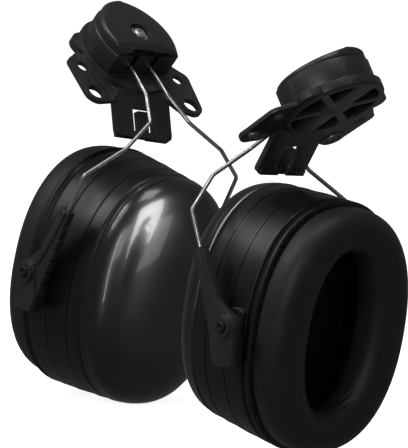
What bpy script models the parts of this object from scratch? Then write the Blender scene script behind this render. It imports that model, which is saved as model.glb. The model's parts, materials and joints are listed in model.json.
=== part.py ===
"""Pair of helmet-mounted earmuff units, modelled piece by piece.

Each unit clips to one side of a safety helmet: an adapter plate with a tongue,
a swivel housing, a sprung wire yoke, two sliding sleeves and a tilting ear cup.
Both units are the same object; the second one stands turned half a turn about Z.

Row frame: +X along the ear axis, out of the first unit's dome; +Y front to rear;
+Z up. The origin lies on the helmet side of the first unit's tongue.
Sizes below are in millimetres and degrees; MM turns them into metres.
"""
import math

import bmesh
import bpy
from mathutils import Matrix, Vector

MM = 0.001
GAP = 0.3

# How the pair lies
PAIR_OFFSET = (205.0, -78.0, 4.0)
FIRST_REST = {"plate_pitch": 51.3, "plate_roll": -10.9, "arm_roll": -2.9, "cup_tilt": -9.5, "slide": 1.0}
SECOND_REST = {"plate_pitch": 55.0, "plate_roll": 5.5, "arm_roll": -1.1, "cup_tilt": 8.5, "slide": -0.4}

# Adapter plate, in its own frame: x along the swivel axis, away from the helmet
RIM_R = 22.0
RIM_INNER_R = 19.2
SPOKE_FACE_X = -2.0
BASE_TOP_X = 2.5
POCKET_FLOOR_X = 1.8
HUB_R = 7.8
WIDE_SPOKE = 10.5
THIN_SPOKE = 3.4
WING_X = (-1.2, 0.6)
WING_HOLE_Y = 25.4
WING_HOLE_Z = (-9.1, -24.9)
WING_HOLE_R = (2.5, 3.6)
LOBE_R = 6.5
LOBE_AT = (18.6, 5.0)
TONGUE_TOP = (-2.4, -21.6)
TONGUE_FOOT = (-11.4, -38.1)
TONGUE_HALF_W = 15.0
TONGUE_T = 2.4
LATCH_W = 6.8
LATCH_H = 8.5
SLIT = 1.7

# Swivel housing and its cap
HOUSING_R = 20.2
HOUSING_FLOOR_T = 1.5
HOUSING_TOP_X = 12.5
HOUSING_WALL = 2.0
CHORD_Z = -11.0
CHORD_WALL = 1.5
CAP_R = 19.6
CAP_FACE_X = 17.0
CAP_SKIN = 1.4
CAP_DROP = 3.0
CAP_CHAMFER = 6.0
RECESS_R = 5.0
RECESS_X = 14.4

# Centre screw
SCREW_R = 1.5
HEAD_R = 2.9
HEAD_T = 1.4
WASHER_R = 4.4
WASHER_T = 0.5
INSERT_R = 3.6

# Spring-loaded wire yoke
SPINDLE = (8.6, -4.5)
SPINDLE_R = 1.25
SPINDLE_HALF_L = 13.6
CARRIER_HALF_W = 8.0
WIRE_R = 0.9
WIRE_LINE_X = 6.0
LEG_Y = 5.6
SPRING_R = 2.3
SPRING_WIRE_R = 0.45
SPRING_TURNS = 2
ROUTE = ((4.9, 6.1, -26.6), (2.6, 11.4, -41.2), (-3.6, 27.5, -51.2), (-17.6, 44.2, -53.6))
SLEEVE_TOP = (-36.3, 44.2, -57.7)
WIRE_IN_SLEEVE = 30.0
BEND_R = 3.5

# Sleeves, in a frame that runs down the wire: x outward, -z down the wire
SLEEVE_IN_Y = 42.6
SLEEVE_OUT_Y = 46.2
KNUCKLE_IN_Y = 41.2
PIVOT_N = -5.8
PIVOT_S = 32.6
BOSS_R = 5.4
BOSS_OUT_Y = 48.6
NOTCH_COUNT = 6
NOTCH_PITCH = 5.6
GROOVE_END = 45.4

# Ear cup, in its own frame: origin on the tilt axis, x outward, z up
CUP_CENTRE_Z = 0.5
CUP_HALF_W = 39.4
CUP_HALF_H = 53.0
CUP_POWER = 2.25
CUP_STEPS = 32
CUP_WALL = 2.4
SEAM_INSET = 2.4
CUSHION_FACE_X = -26.0
CUSHION_BACK_X = -9.3
CUSHION_OPENING = (16.5, 33.0)
CUSHION_SKIN = 1.2
PLATE_X = (-9.0, -4.9)
SHELL_X = (-4.6, 26.9)
SEAL_X = (27.2, 28.0)
DOME_RIM_X = 28.3
DOME_TIP_X = 47.0
STUD_R = 2.5
LINER_X = (3.5, 31.0)
STUD_HEAD_R = 4.0


def clear_scene():
    """Remove every object, so that the model starts from nothing."""
    for item in list(bpy.data.objects):
        bpy.data.objects.remove(item, do_unlink=True)


# Shared helpers -------------------------------------------------------------

def make_material(name, colour, roughness, metallic=0.0):
    """A Principled BSDF of one colour."""
    material = bpy.data.materials.new(name)
    material.use_nodes = True
    shader = material.node_tree.nodes["Principled BSDF"]
    shader.inputs["Base Color"].default_value = (*colour, 1.0)
    shader.inputs["Roughness"].default_value = roughness
    shader.inputs["Metallic"].default_value = metallic
    return material


def make_empty(name, parent, at=(0.0, 0.0, 0.0), turn=None):
    """An empty that holds a frame or a joint axis."""
    empty = bpy.data.objects.new(name, None)
    empty.empty_display_size = 0.01
    bpy.context.scene.collection.objects.link(empty)
    empty.parent = parent
    rotation = turn if turn is not None else Matrix.Identity(4)
    empty.matrix_local = Matrix.Translation(Vector(at) * MM) @ rotation
    return empty


def finish_mesh(bm, name, parent, look):
    """Turn a bmesh in millimetres into a smooth-shaded object in metres."""
    bmesh.ops.recalc_face_normals(bm, faces=bm.faces[:])
    bmesh.ops.scale(bm, vec=(MM, MM, MM), verts=bm.verts[:])
    mesh = bpy.data.meshes.new(name)
    bm.to_mesh(mesh)
    bm.free()
    mesh.shade_smooth()
    mesh.set_sharp_from_angle(angle=math.radians(35))
    piece = bpy.data.objects.new(name, mesh)
    bpy.context.scene.collection.objects.link(piece)
    piece.parent = parent
    if look is not None:
        mesh.materials.append(make_material(name, *look))
    return piece


def hide_tool(piece):
    """Mark a cutter or an added shape as a tool, not a piece."""
    piece.hide_render = True
    piece.display_type = "WIRE"
    return piece


def combine(piece, tool, operation):
    """Join a tool to a piece, or cut it away, with an exact Boolean."""
    hide_tool(tool)
    step = piece.modifiers.new(operation.lower(), "BOOLEAN")
    step.operation = operation
    step.solver = "EXACT"
    step.use_self = True
    step.object = tool
    return piece


def bridge(bm, first, second):
    """Faces between two loops of the same length."""
    count = len(first)
    for i in range(count):
        j = (i + 1) % count
        bm.faces.new((first[i], first[j], second[j], second[i]))


def loft(bm, sections, ring=False):
    """Skin through closed sections; a ring joins its last section to its first."""
    loops = [[bm.verts.new(point) for point in section] for section in sections]
    for first, second in zip(loops, loops[1:]):
        bridge(bm, first, second)
    if ring:
        bridge(bm, loops[-1], loops[0])
    else:
        bm.faces.new(loops[0])
        bm.faces.new(loops[-1])


def turned(bm, profile, steps, centre=(0.0, 0.0), axis="x"):
    """Solid of revolution from a closed (height, radius) profile that clears its axis."""
    sections = []
    for i in range(steps):
        angle = 2 * math.pi * i / steps
        c, s = math.cos(angle), math.sin(angle)
        if axis == "x":
            section = [(h, centre[0] + r * c, centre[1] + r * s) for h, r in profile]
        else:
            section = [(centre[0] + r * c, h, centre[1] + r * s) for h, r in profile]
        sections.append(section)
    loft(bm, sections, ring=True)


def rod(bm, stations, steps, centre=(0.0, 0.0), axis="x"):
    """Solid round bar from (height, radius) stations along its axis."""
    sections = []
    for h, r in stations:
        ring = []
        for i in range(steps):
            angle = 2 * math.pi * i / steps
            c, s = r * math.cos(angle), r * math.sin(angle)
            if axis == "x":
                ring.append((h, centre[0] + c, centre[1] + s))
            else:
                ring.append((centre[0] + c, h, centre[1] + s))
        sections.append(ring)
    loft(bm, sections)


def prism(bm, outline, low, high, axis="x"):
    """Extrude an outline along x (points are y, z) or along y (points are x, z)."""
    if axis == "x":
        sections = [[(h, u, v) for u, v in outline] for h in (low, high)]
    else:
        sections = [[(u, h, v) for u, v in outline] for h in (low, high)]
    loft(bm, sections)


def box(bm, low, high):
    """Box between two corners."""
    outline = [(low[1], low[2]), (high[1], low[2]), (high[1], high[2]), (low[1], high[2])]
    prism(bm, outline, low[0], high[0])


def arc(centre, radius, start, end, steps):
    """Points on an arc, angles in degrees."""
    points = []
    for i in range(steps + 1):
        angle = math.radians(start + (end - start) * i / steps)
        points.append((centre[0] + radius * math.cos(angle), centre[1] + radius * math.sin(angle)))
    return points


def shape(name, parent, build, look=None):
    """Run one build function on a fresh bmesh and make it an object."""
    bm = bmesh.new()
    build(bm)
    return finish_mesh(bm, name, parent, look)


MATTE = ((0.022, 0.022, 0.023), 0.48)
SATIN = ((0.018, 0.018, 0.019), 0.34)
GLOSS = ((0.010, 0.010, 0.011), 0.08)
VINYL = ((0.020, 0.020, 0.021), 0.50)
FOAM = ((0.012, 0.012, 0.013), 0.95)
STEEL = ((0.70, 0.70, 0.71), 0.22, 1.0)
BRASS = ((0.70, 0.52, 0.24), 0.30, 1.0)
RUBBER = ((0.015, 0.015, 0.016), 0.70)


# Adapter plate --------------------------------------------------------------

def wing_outline(side):
    """One wing, from the disc out to its corner and back to the tongue."""
    points = [(12.0, 6.0), (20.5, 4.0), (29.0, -3.2)]
    points += arc((28.0, -7.6), 4.2, 60, 0, 3)
    points += arc((25.2, -24.6), 6.0, 0, -95, 5)
    points += [(18.0, -29.0), (12.0, -22.0)]
    return [(side * y, z) for y, z in points]


def tongue_point(along, lift):
    """Point of the tongue's side view: along from its top, lift off its helmet face."""
    top, foot = Vector(TONGUE_TOP), Vector(TONGUE_FOOT)
    down = (foot - top).normalized()
    out = Vector((-down.y, down.x))
    return top + down * along + out * lift


def tongue_length():
    """Length of the tongue down its helmet face."""
    return (Vector(TONGUE_FOOT) - Vector(TONGUE_TOP)).length


def tongue_block(bm, along, lift, half_w, offset=0.0):
    """Block on the tongue between two lengths along it and two heights off its face."""
    corners = [(along[0], lift[0]), (along[1], lift[0]), (along[1], lift[1]), (along[0], lift[1])]
    outline = [tuple(tongue_point(a, h)) for a, h in corners]
    prism(bm, outline, offset - half_w, offset + half_w, axis="y")


def build_disc(bm):
    """Round base of the plate."""
    edge = 0.8
    rod(bm, [(SPOKE_FACE_X, RIM_R - edge), (SPOKE_FACE_X + edge, RIM_R), (BASE_TOP_X, RIM_R)], 40)


def build_wings(bm):
    """Two wings, each with raised rims round its lower hole, and two side lobes."""
    for side in (-1, 1):
        prism(bm, wing_outline(side), *WING_X)


def build_lobes(bm):
    """Rounded lobes at the sides of the disc and rims round the lower wing holes."""
    for side in (-1, 1):
        rod(bm, [(SPOKE_FACE_X + 0.7, LOBE_R), (BASE_TOP_X - 0.4, LOBE_R)], 16,
            (side * LOBE_AT[0], LOBE_AT[1]))
        rim_r = WING_HOLE_R[1] + 1.8
        rod(bm, [(WING_X[0] - 0.3, rim_r), (WING_X[1] + 0.3, rim_r)], 16,
            (side * WING_HOLE_Y, WING_HOLE_Z[1]))


def build_tongue(bm):
    """Tongue with rounded foot corners, joined to the disc by a stepped root."""
    length = tongue_length()
    outline = [(-TONGUE_HALF_W, 3.0), (TONGUE_HALF_W, 3.0)]
    outline += arc((TONGUE_HALF_W - 2.5, 2.5 - length), 2.5, 0, -90, 3)
    outline += arc((2.5 - TONGUE_HALF_W, 2.5 - length), 2.5, -90, -180, 3)
    sections = []
    for lift in (0.0, TONGUE_T):
        sections.append([(*tongue_point(-z, lift), y) for y, z in outline])
    loft(bm, [[(x, y, z) for x, z, y in section] for section in sections])


def build_lip(bm):
    """Thick lip across the foot of the tongue, open at its centre."""
    length = tongue_length()
    for side in (-1, 1):
        tongue_block(bm, (length - 2.6, length - 0.1), (-1.2, 1.0), 5.6, side * 8.2)


def build_pockets(bm):
    """Six pockets between the three spokes, cut from the helmet side."""
    spokes = ((90.0, WIDE_SPOKE / 2), (30.0, THIN_SPOKE / 2), (150.0, THIN_SPOKE / 2))
    edges = []
    for angle, half in spokes:
        edges += [(angle, half), (angle + 180.0, half)]
    edges.sort()
    for (a0, h0), (a1, h1) in zip(edges, edges[1:] + [(edges[0][0] + 360.0, edges[0][1])]):
        outline = []
        inner, outer = HUB_R, RIM_INNER_R
        low_in = a0 + math.degrees(math.asin(h0 / inner))
        high_in = a1 - math.degrees(math.asin(h1 / inner))
        low_out = a0 + math.degrees(math.asin(h0 / outer))
        high_out = a1 - math.degrees(math.asin(h1 / outer))
        outline += arc((0.0, 0.0), outer, low_out, high_out, 6)
        outline += arc((0.0, 0.0), inner, high_in, low_in, 2)
        prism(bm, outline, SPOKE_FACE_X - 2.0, POCKET_FLOOR_X)


def build_plate_holes(bm):
    """Wing holes, the insert's seat in the hub and the slot round the latch."""
    for side in (-1, 1):
        for z, radius in zip(WING_HOLE_Z, WING_HOLE_R):
            rod(bm, [(-6.0, radius), (6.0, radius)], 16, (side * WING_HOLE_Y, z))
    rod(bm, [(-0.6, INSERT_R + GAP), (BASE_TOP_X + 1.0, INSERT_R + GAP)], 20)


def build_latch_slot(bm):
    """Opening in the tongue that leaves room round the latch."""
    length = tongue_length()
    top = length - 3.2 - LATCH_H - SLIT
    tongue_block(bm, (top, length - 2.9), (-3.0, TONGUE_T + 2.0), LATCH_W / 2 + SLIT)


def build_latch(bm):
    """Springy tab, rooted at the foot of the tongue, with a hook at its tip."""
    length = tongue_length()
    foot = length - 3.2
    side_view = [(foot, 0.5), (foot, 1.8), (foot - LATCH_H + 2.4, 1.8), (foot - LATCH_H, 3.6),
                 (foot - LATCH_H, 0.5)]
    outline = [tuple(tongue_point(a, h)) for a, h in side_view]
    prism(bm, outline, -LATCH_W / 2, LATCH_W / 2, axis="y")


def make_adapter(prefix, plate_frame, latch_axis):
    """Adapter plate and its latch."""
    plate = shape(prefix + "adapter_plate", plate_frame, build_disc, MATTE)
    tools = ((build_wings, "UNION"), (build_lobes, "UNION"), (build_tongue, "UNION"),
             (build_lip, "UNION"), (build_pockets, "DIFFERENCE"), (build_plate_holes, "DIFFERENCE"),
             (build_latch_slot, "DIFFERENCE"))
    for build, operation in tools:
        tool = shape(prefix + build.__name__.replace("build_", "tool_"), plate_frame, build)
        combine(plate, tool, operation)
    latch = shape(prefix + "tongue_latch", plate_frame, build_latch, MATTE)
    keep_world(latch, latch_axis)


def keep_world(piece, parent):
    """Hang a piece on another parent without moving it."""
    bpy.context.view_layer.update()
    world = piece.matrix_world.copy()
    piece.parent = parent
    piece.matrix_parent_inverse = parent.matrix_world.inverted()
    piece.matrix_basis = world


# Screw stack ----------------------------------------------------------------

def build_insert(bm):
    """Threaded insert in the hub."""
    hole = SCREW_R + GAP
    turned(bm, [(-0.3, hole), (-0.3, INSERT_R), (2.2, INSERT_R), (2.2, hole)], 20)


def build_screw(bm):
    """Pan-head screw from the cap's recess down into the insert."""
    head = RECESS_X + WASHER_T + 2 * GAP
    rod(bm, [(0.0, SCREW_R), (head, SCREW_R), (head, HEAD_R), (head + 0.6, HEAD_R),
             (head + HEAD_T, HEAD_R * 0.72)], 20)


def build_cross(bm):
    """Cross recess in the screw's head."""
    head = RECESS_X + WASHER_T + 2 * GAP
    arm, half = 1.7, 0.32
    outline = [(arm, -half), (arm, half), (half, half), (half, arm), (-half, arm), (-half, half)]
    outline += [(-y, -z) for y, z in outline]
    prism(bm, outline, head + 0.5, head + HEAD_T + 1.0)


def build_washer(bm):
    """Flat washer under the screw's head."""
    low = RECESS_X + GAP
    hole = SCREW_R + GAP
    turned(bm, [(low, hole), (low, WASHER_R), (low + WASHER_T, WASHER_R), (low + WASHER_T, hole)], 20)


def make_screw_stack(prefix, plate_frame):
    """Screw, washer and threaded insert."""
    shape(prefix + "threaded_insert", plate_frame, build_insert, BRASS)
    shape(prefix + "screw_washer", plate_frame, build_washer, STEEL)
    screw = shape(prefix + "pivot_screw", plate_frame, build_screw, STEEL)
    combine(screw, shape(prefix + "tool_cross", plate_frame, build_cross), "DIFFERENCE")


# Swivel housing -------------------------------------------------------------

def chord_outline(radius, chord_z, steps):
    """Circle cut off by a straight chord low down."""
    start = math.degrees(math.asin(chord_z / radius))
    return arc((0.0, 0.0), radius, start, 180.0 - start, steps)


def build_housing(bm):
    """Tray with a flat lower wall, open towards the cap."""
    floor = BASE_TOP_X + GAP
    outer = chord_outline(HOUSING_R, CHORD_Z, 28)
    outer_top = chord_outline(HOUSING_R - 0.5, CHORD_Z, 28)
    inner = chord_outline(HOUSING_R - HOUSING_WALL, CHORD_Z + CHORD_WALL, 28)
    stations = ((floor, outer), (HOUSING_TOP_X - 0.6, outer), (HOUSING_TOP_X, outer_top),
                (HOUSING_TOP_X, inner), (floor + HOUSING_FLOOR_T, inner))
    loft(bm, [[(x, y, z) for y, z in outline] for x, outline in stations])


def build_lugs(bm):
    """Two lugs that carry the spindle."""
    floor = BASE_TOP_X + GAP + HOUSING_FLOOR_T - 0.5
    for side in (-1, 1):
        low, high = sorted((side * 12.2, side * 14.6))
        box(bm, (floor, low, SPINDLE[1] - 2.6), (SPINDLE[0] + 2.2, high, SPINDLE[1] + 2.6))


def build_stop(bm):
    """Raised band round the rear half of the housing, which ends in a step at the top."""
    floor = BASE_TOP_X + GAP
    outline = arc((0.0, 0.0), HOUSING_R + 0.9, -28, 86, 16)
    outline += arc((0.0, 0.0), HOUSING_R - 1.0, 92, -28, 16)
    prism(bm, outline, floor, HOUSING_TOP_X - 0.7)


def build_housing_cuts(bm):
    """Slots for the wire legs, the spindle's bore and the screw's hole."""
    low = WIRE_LINE_X - WIRE_R - 0.35
    for side in (-1, 1):
        y0, y1 = sorted((side * (LEG_Y - 1.6), side * (LEG_Y + 1.9)))
        box(bm, (low, y0, CHORD_Z - 3.0), (HOUSING_TOP_X + 1.0, y1, CHORD_Z + CHORD_WALL + 1.0))
    rod(bm, [(-16.0, SPINDLE_R + GAP), (16.0, SPINDLE_R + GAP)], 16, SPINDLE, axis="y")
    rod(bm, [(0.0, SCREW_R + 0.4), (7.0, SCREW_R + 0.4)], 16)


def cap_height(y, z):
    """Height of the cap's face, which falls away towards one side and rounds off at its rim."""
    radius = math.hypot(y, z)
    along = max(0.0, radius - RECESS_R) / (CAP_R - RECESS_R)
    lean = max(0.0, y / radius) ** 0.7
    edge = max(0.0, radius - CAP_R + 1.0)
    return CAP_FACE_X - CAP_DROP * lean * along ** 2 - 0.9 * edge ** 2


def cap_outline(radius):
    """Outline of the cap at a radius, with its flat lower side kept clear of the centre."""
    return chord_outline(radius, max(CHORD_Z, -0.85 * radius), 28)


def build_cap(bm):
    """Lid with a shaped face, hollow underneath."""
    low = HOUSING_TOP_X + GAP
    sections = []
    for radius in (7.5, 11.0, 14.0):
        sections.append([(cap_height(y, z) - CAP_SKIN, y, z) for y, z in cap_outline(radius)])
    for x, radius in ((low + 0.1, CAP_R - 2.4), (low, CAP_R - 2.2), (low, CAP_R)):
        sections.append([(x, y, z) for y, z in cap_outline(radius)])
    for step in (0.0, 0.4, 1.0, 3.0, 6.0, 9.0, 12.0):
        sections.append([(cap_height(y, z), y, z) for y, z in cap_outline(CAP_R - step)])
    loft(bm, sections)


def build_cap_post(bm):
    """Boss under the cap's face that carries the screw recess."""
    rod(bm, [(RECESS_X - 1.2, RECESS_R + 1.2), (CAP_FACE_X - 0.5, RECESS_R + 1.2)], 20)


def build_cap_cuts(bm):
    """Screw recess, screw hole and the slanted lower face."""
    rod(bm, [(RECESS_X, RECESS_R), (CAP_FACE_X + 2.0, RECESS_R)], 24)
    rod(bm, [(5.0, SCREW_R + 0.4), (CAP_FACE_X, SCREW_R + 0.4)], 16)
    reach = CAP_CHAMFER + 4.0
    slope = [(CAP_FACE_X + 3.0, CHORD_Z - 3.0), (CAP_FACE_X + 3.0, CHORD_Z + reach),
             (HOUSING_TOP_X + 1.0, CHORD_Z - 3.0)]
    prism(bm, slope, -30.0, 30.0, axis="y")


def build_spindle(bm):
    """Steel pin that the yoke's carrier turns on."""
    rod(bm, [(-SPINDLE_HALF_L, SPINDLE_R), (SPINDLE_HALF_L, SPINDLE_R)], 14, SPINDLE, axis="y")


def sweep(bm, path, radius, sides):
    """Round tube along a path, with mitred corners and closed ends."""
    points = [Vector(p) for p in path]
    frame_y = None
    sections = []
    for i, point in enumerate(points):
        before = (point - points[i - 1]).normalized() if i else (points[1] - point).normalized()
        after = (points[i + 1] - point).normalized() if i + 1 < len(points) else before
        tangent = (before + after).normalized()
        if frame_y is None:
            frame_y = tangent.orthogonal().normalized()
        frame_y = (frame_y - tangent * frame_y.dot(tangent)).normalized()
        frame_z = tangent.cross(frame_y)
        ring = []
        for k in range(sides):
            angle = 2 * math.pi * k / sides
            ring.append(point + (frame_y * math.cos(angle) + frame_z * math.sin(angle)) * radius)
        sections.append(ring)
    loft(bm, sections)


def build_spring(bm):
    """Torsion spring round the spindle, with one leg on the floor and one on the carrier."""
    start_y = CARRIER_HALF_W + 0.9
    pitch = 1.2
    per_turn = 12
    path = [(SPINDLE[0] - SPRING_R * 0.98, start_y, SPINDLE[1] - 3.4)]
    for i in range(SPRING_TURNS * per_turn + 1):
        angle = math.pi + 2 * math.pi * i / per_turn
        path.append((SPINDLE[0] + SPRING_R * math.cos(angle), start_y + pitch * i / per_turn,
                     SPINDLE[1] + SPRING_R * math.sin(angle)))
    end_y = start_y + pitch * SPRING_TURNS
    path.append((SPINDLE[0] - SPRING_R, end_y, SPINDLE[1] + 3.6))
    sweep(bm, path, SPRING_WIRE_R, 5)


def make_swivel(prefix, swivel_frame):
    """Housing, cap, spindle and torsion spring."""
    housing = shape(prefix + "swivel_housing", swivel_frame, build_housing, MATTE)
    for build, operation in ((build_lugs, "UNION"), (build_stop, "UNION"),
                             (build_housing_cuts, "DIFFERENCE")):
        tool = shape(prefix + build.__name__.replace("build_", "tool_"), swivel_frame, build)
        combine(housing, tool, operation)
    cap = shape(prefix + "swivel_cap", swivel_frame, build_cap, SATIN)
    for build, operation in ((build_cap_post, "UNION"), (build_cap_cuts, "DIFFERENCE")):
        tool = shape(prefix + build.__name__.replace("build_", "tool_"), swivel_frame, build)
        combine(cap, tool, operation)
    shape(prefix + "arm_spindle", swivel_frame, build_spindle, STEEL)
    shape(prefix + "tension_spring", swivel_frame, build_spring, STEEL)


# Wire yoke ------------------------------------------------------------------

def wire_down():
    """Direction of the wire's straight lower stretch, in the swivel frame."""
    bend, top = Vector(ROUTE[-1]), Vector(SLEEVE_TOP)
    return (top - bend).normalized()


def rounded(corners, radius, steps):
    """Path through corners, each replaced by a short arc-like blend."""
    points = [Vector(corners[0])]
    for before, corner, after in zip(corners, corners[1:], corners[2:]):
        corner = Vector(corner)
        back = (Vector(before) - corner).normalized()
        ahead = (Vector(after) - corner).normalized()
        half = math.acos(max(-1.0, min(1.0, back.dot(ahead)))) / 2
        reach = min(radius / math.tan(half), (Vector(before) - corner).length * 0.45)
        for i in range(steps + 1):
            t = i / steps
            start, end = corner + back * reach, corner + ahead * reach
            points.append(start * (1 - t) ** 2 + corner * 2 * t * (1 - t) + end * t ** 2)
    points.append(Vector(corners[-1]))
    return points


def leg_corners(side):
    """Corners of one leg, from the crossbar down to the wire's end in its sleeve."""
    corners = [(WIRE_LINE_X, side * LEG_Y, SPINDLE[1]), (WIRE_LINE_X, side * LEG_Y, -9.6)]
    corners += [(x, side * y, z) for x, y, z in ROUTE]
    end = Vector(SLEEVE_TOP) + wire_down() * WIRE_IN_SLEEVE
    corners.append((end.x, side * end.y, end.z))
    return corners


def build_wire(bm):
    """One steel wire: leg, crossbar inside the housing, leg."""
    first = leg_corners(-1)
    second = leg_corners(1)
    corners = first[::-1] + second
    steep = rounded(corners, BEND_R, 3)
    sweep(bm, steep, WIRE_R, 8)


def build_carrier(bm):
    """Rocker on the spindle that grips the wire's crossbar."""
    x, z = SPINDLE
    outline = [(x - 3.7, z - 3.0), (x - 3.7, z + 0.8), (x - 2.9, z + 1.6), (x + 1.9, z + 1.6),
               (x + 2.9, z + 0.4), (x + 2.9, z - 1.2), (x + 1.2, z - 3.0)]
    prism(bm, outline, -CARRIER_HALF_W, CARRIER_HALF_W, axis="y")


def build_carrier_cuts(bm):
    """Groove for the wire, open towards the helmet, and the bore for the spindle."""
    x, z = SPINDLE
    edge = WIRE_R + GAP
    front = WIRE_LINE_X + edge
    box(bm, (0.0, -LEG_Y - edge, z - edge), (front, LEG_Y + edge, z + edge))
    for side in (-1, 1):
        low, high = sorted((side * (LEG_Y - edge - 0.9), side * (LEG_Y + edge + 0.4)))
        box(bm, (0.0, low, z - 6.0), (front, high, z + edge))
    rod(bm, [(-12.0, SPINDLE_R + 0.08), (12.0, SPINDLE_R + 0.08)], 14, (x, z), axis="y")


def make_yoke(prefix, swivel_frame, arm_axis):
    """Wire yoke and its carrier."""
    wire = shape(prefix + "wire_yoke", swivel_frame, build_wire, STEEL)
    carrier = shape(prefix + "wire_carrier", swivel_frame, build_carrier, MATTE)
    tool = shape(prefix + "tool_carrier_cuts", swivel_frame, build_carrier_cuts)
    combine(carrier, tool, "DIFFERENCE")
    for piece in (wire, carrier, tool):
        keep_world(piece, arm_axis)


# Sleeves --------------------------------------------------------------------

def sleeve_outline():
    """Side view of a sleeve, seen along y: a blade that widens to the pivot boss."""
    points = [(-3.0, 2.5), (2.7, 2.5)]
    for i in range(NOTCH_COUNT):
        s = 4.0 + NOTCH_PITCH * i
        edge = 2.7 + 2.3 * s / 46.5
        points += [(edge, -s), (edge - 1.1, -s - 0.8), (edge, -s - 1.6)]
    points += [(5.0, -46.5), (-5.0, -49.5)]
    points += arc((PIVOT_N, -PIVOT_S), BOSS_R, 205, 140, 5)
    points += [(-4.2, -20.0)]
    return points


def build_blade(side):
    """Blade of one sleeve."""
    def build(bm):
        low, high = sorted((side * SLEEVE_IN_Y, side * SLEEVE_OUT_Y))
        prism(bm, sleeve_outline(), low, high, axis="y")
    return build


def build_knuckle(side):
    """Thick pivot end of one sleeve and the raised ring round its stud."""
    def build(bm):
        outline = [(4.6, -38.0), (4.8, -46.2), (-5.0, -49.2)]
        outline += arc((PIVOT_N, -PIVOT_S), BOSS_R - 0.2, 205, 10, 12)
        low, high = sorted((side * KNUCKLE_IN_Y, side * (SLEEVE_OUT_Y + 1.0)))
        prism(bm, outline, low, high, axis="y")
        inner, outer = sorted((side * (SLEEVE_OUT_Y + 0.5), side * BOSS_OUT_Y))
        rod(bm, [(inner, BOSS_R - 0.8), (outer, BOSS_R - 0.8)], 20, (PIVOT_N, -PIVOT_S), axis="y")
    return build


def build_sleeve_cuts(side):
    """Wire groove, open towards the cup, and the stud's bore."""
    def build(bm):
        edge = WIRE_R + GAP
        low, high = sorted((side * (KNUCKLE_IN_Y - 1.0), side * (SLEEVE_TOP[1] + edge)))
        box(bm, (-edge, low, -GROOVE_END), (edge, high, 4.0))
        ends = sorted((side * 38.0, side * 50.0))
        rod(bm, [(ends[0], STUD_R + 0.1), (ends[1], STUD_R + 0.1)], 16, (PIVOT_N, -PIVOT_S), axis="y")
    return build


def make_sleeves(prefix, slide_axis):
    """Front and rear sleeves, which ride down the wire's legs."""
    for side, place in ((-1, "front"), (1, "rear")):
        name = prefix + place + "_sleeve"
        sleeve = shape(name, slide_axis, build_blade(side), MATTE)
        knuckle = shape(name + "_tool_knuckle", slide_axis, build_knuckle(side))
        combine(sleeve, knuckle, "UNION")
        cuts = shape(name + "_tool_cuts", slide_axis, build_sleeve_cuts(side))
        combine(sleeve, cuts, "DIFFERENCE")


# Ear cup --------------------------------------------------------------------

def oval(x, half_w, half_h, power=CUP_POWER, steps=CUP_STEPS):
    """Rounded oval section of the cup at one depth."""
    points = []
    for i in range(steps):
        angle = 2 * math.pi * (i + 0.5) / steps
        c, s = math.cos(angle), math.sin(angle)
        y = half_w * math.copysign(abs(c) ** (2 / power), c)
        z = half_h * math.copysign(abs(s) ** (2 / power), s)
        points.append((x, y, z + CUP_CENTRE_Z))
    return points


def inset_oval(x, inset, power=CUP_POWER):
    """Section set in from the cup's outer wall."""
    return oval(x, CUP_HALF_W - inset, CUP_HALF_H - inset, power)


def build_shell(bm):
    """Drum-shaped cup body, open at both ends."""
    low, high = SHELL_X
    middle = (low + high) / 2
    loft(bm, [inset_oval(low, 0.0), inset_oval(middle, SEAM_INSET * 0.4), inset_oval(high, SEAM_INSET),
              inset_oval(high, SEAM_INSET + CUP_WALL), inset_oval(low, CUP_WALL)], ring=True)


def build_pads(bm):
    """Arched pads on the cup's sides, where the sleeves' knuckles bear."""
    for side in (-1, 1):
        outline = arc((0.0, 0.0), 8.0, 180, 0, 10)
        outline += [(7.0, -13.0), (-4.2, -13.0)]
        low, high = sorted((side * (CUP_HALF_W - 1.6), side * (KNUCKLE_IN_Y - GAP)))
        outline = [(max(x, SHELL_X[0] + 0.4), z) for x, z in outline]
        prism(bm, outline, low, high, axis="y")


def build_stud_bores(bm):
    """Bores for the two pivot studs."""
    for side in (-1, 1):
        ends = sorted((side * 34.0, side * 44.0))
        rod(bm, [(ends[0], STUD_R + GAP), (ends[1], STUD_R + GAP)], 16, axis="y")


def build_stud(side):
    """Pivot stud: head inside the cup, shank through the sleeve's boss."""
    def build(bm):
        inner_wall = CUP_HALF_W - CUP_WALL - GAP - 0.8
        ends = ((inner_wall - 1.4, STUD_HEAD_R), (inner_wall - 0.2, STUD_HEAD_R),
                (inner_wall - 0.2, STUD_R), (BOSS_OUT_Y + 0.4, STUD_R), (BOSS_OUT_Y + 1.0, STUD_R * 0.8))
        stations = [(side * h, r) for h, r in ends]
        if side < 0:
            stations.reverse()
        rod(bm, stations, 16, axis="y")
    return build


def crown(inset, rim_x, tip_x, power, steps):
    """Sections of a dome from its rim to its flat tip, rounded like a quarter ellipse."""
    half_w, half_h = CUP_HALF_W - inset, CUP_HALF_H - inset
    sections = []
    for i in range(steps + 1):
        angle = math.radians(80.0 * i / steps)
        reach = math.cos(angle) ** power
        rise = math.sin(angle) / math.sin(math.radians(80.0))
        drop = 1.0 - reach
        sections.append(oval(rim_x + (tip_x - rim_x) * rise, half_w * reach,
                             half_h - half_w * drop * 1.05, CUP_POWER - 0.25 * rise))
    return sections


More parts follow.
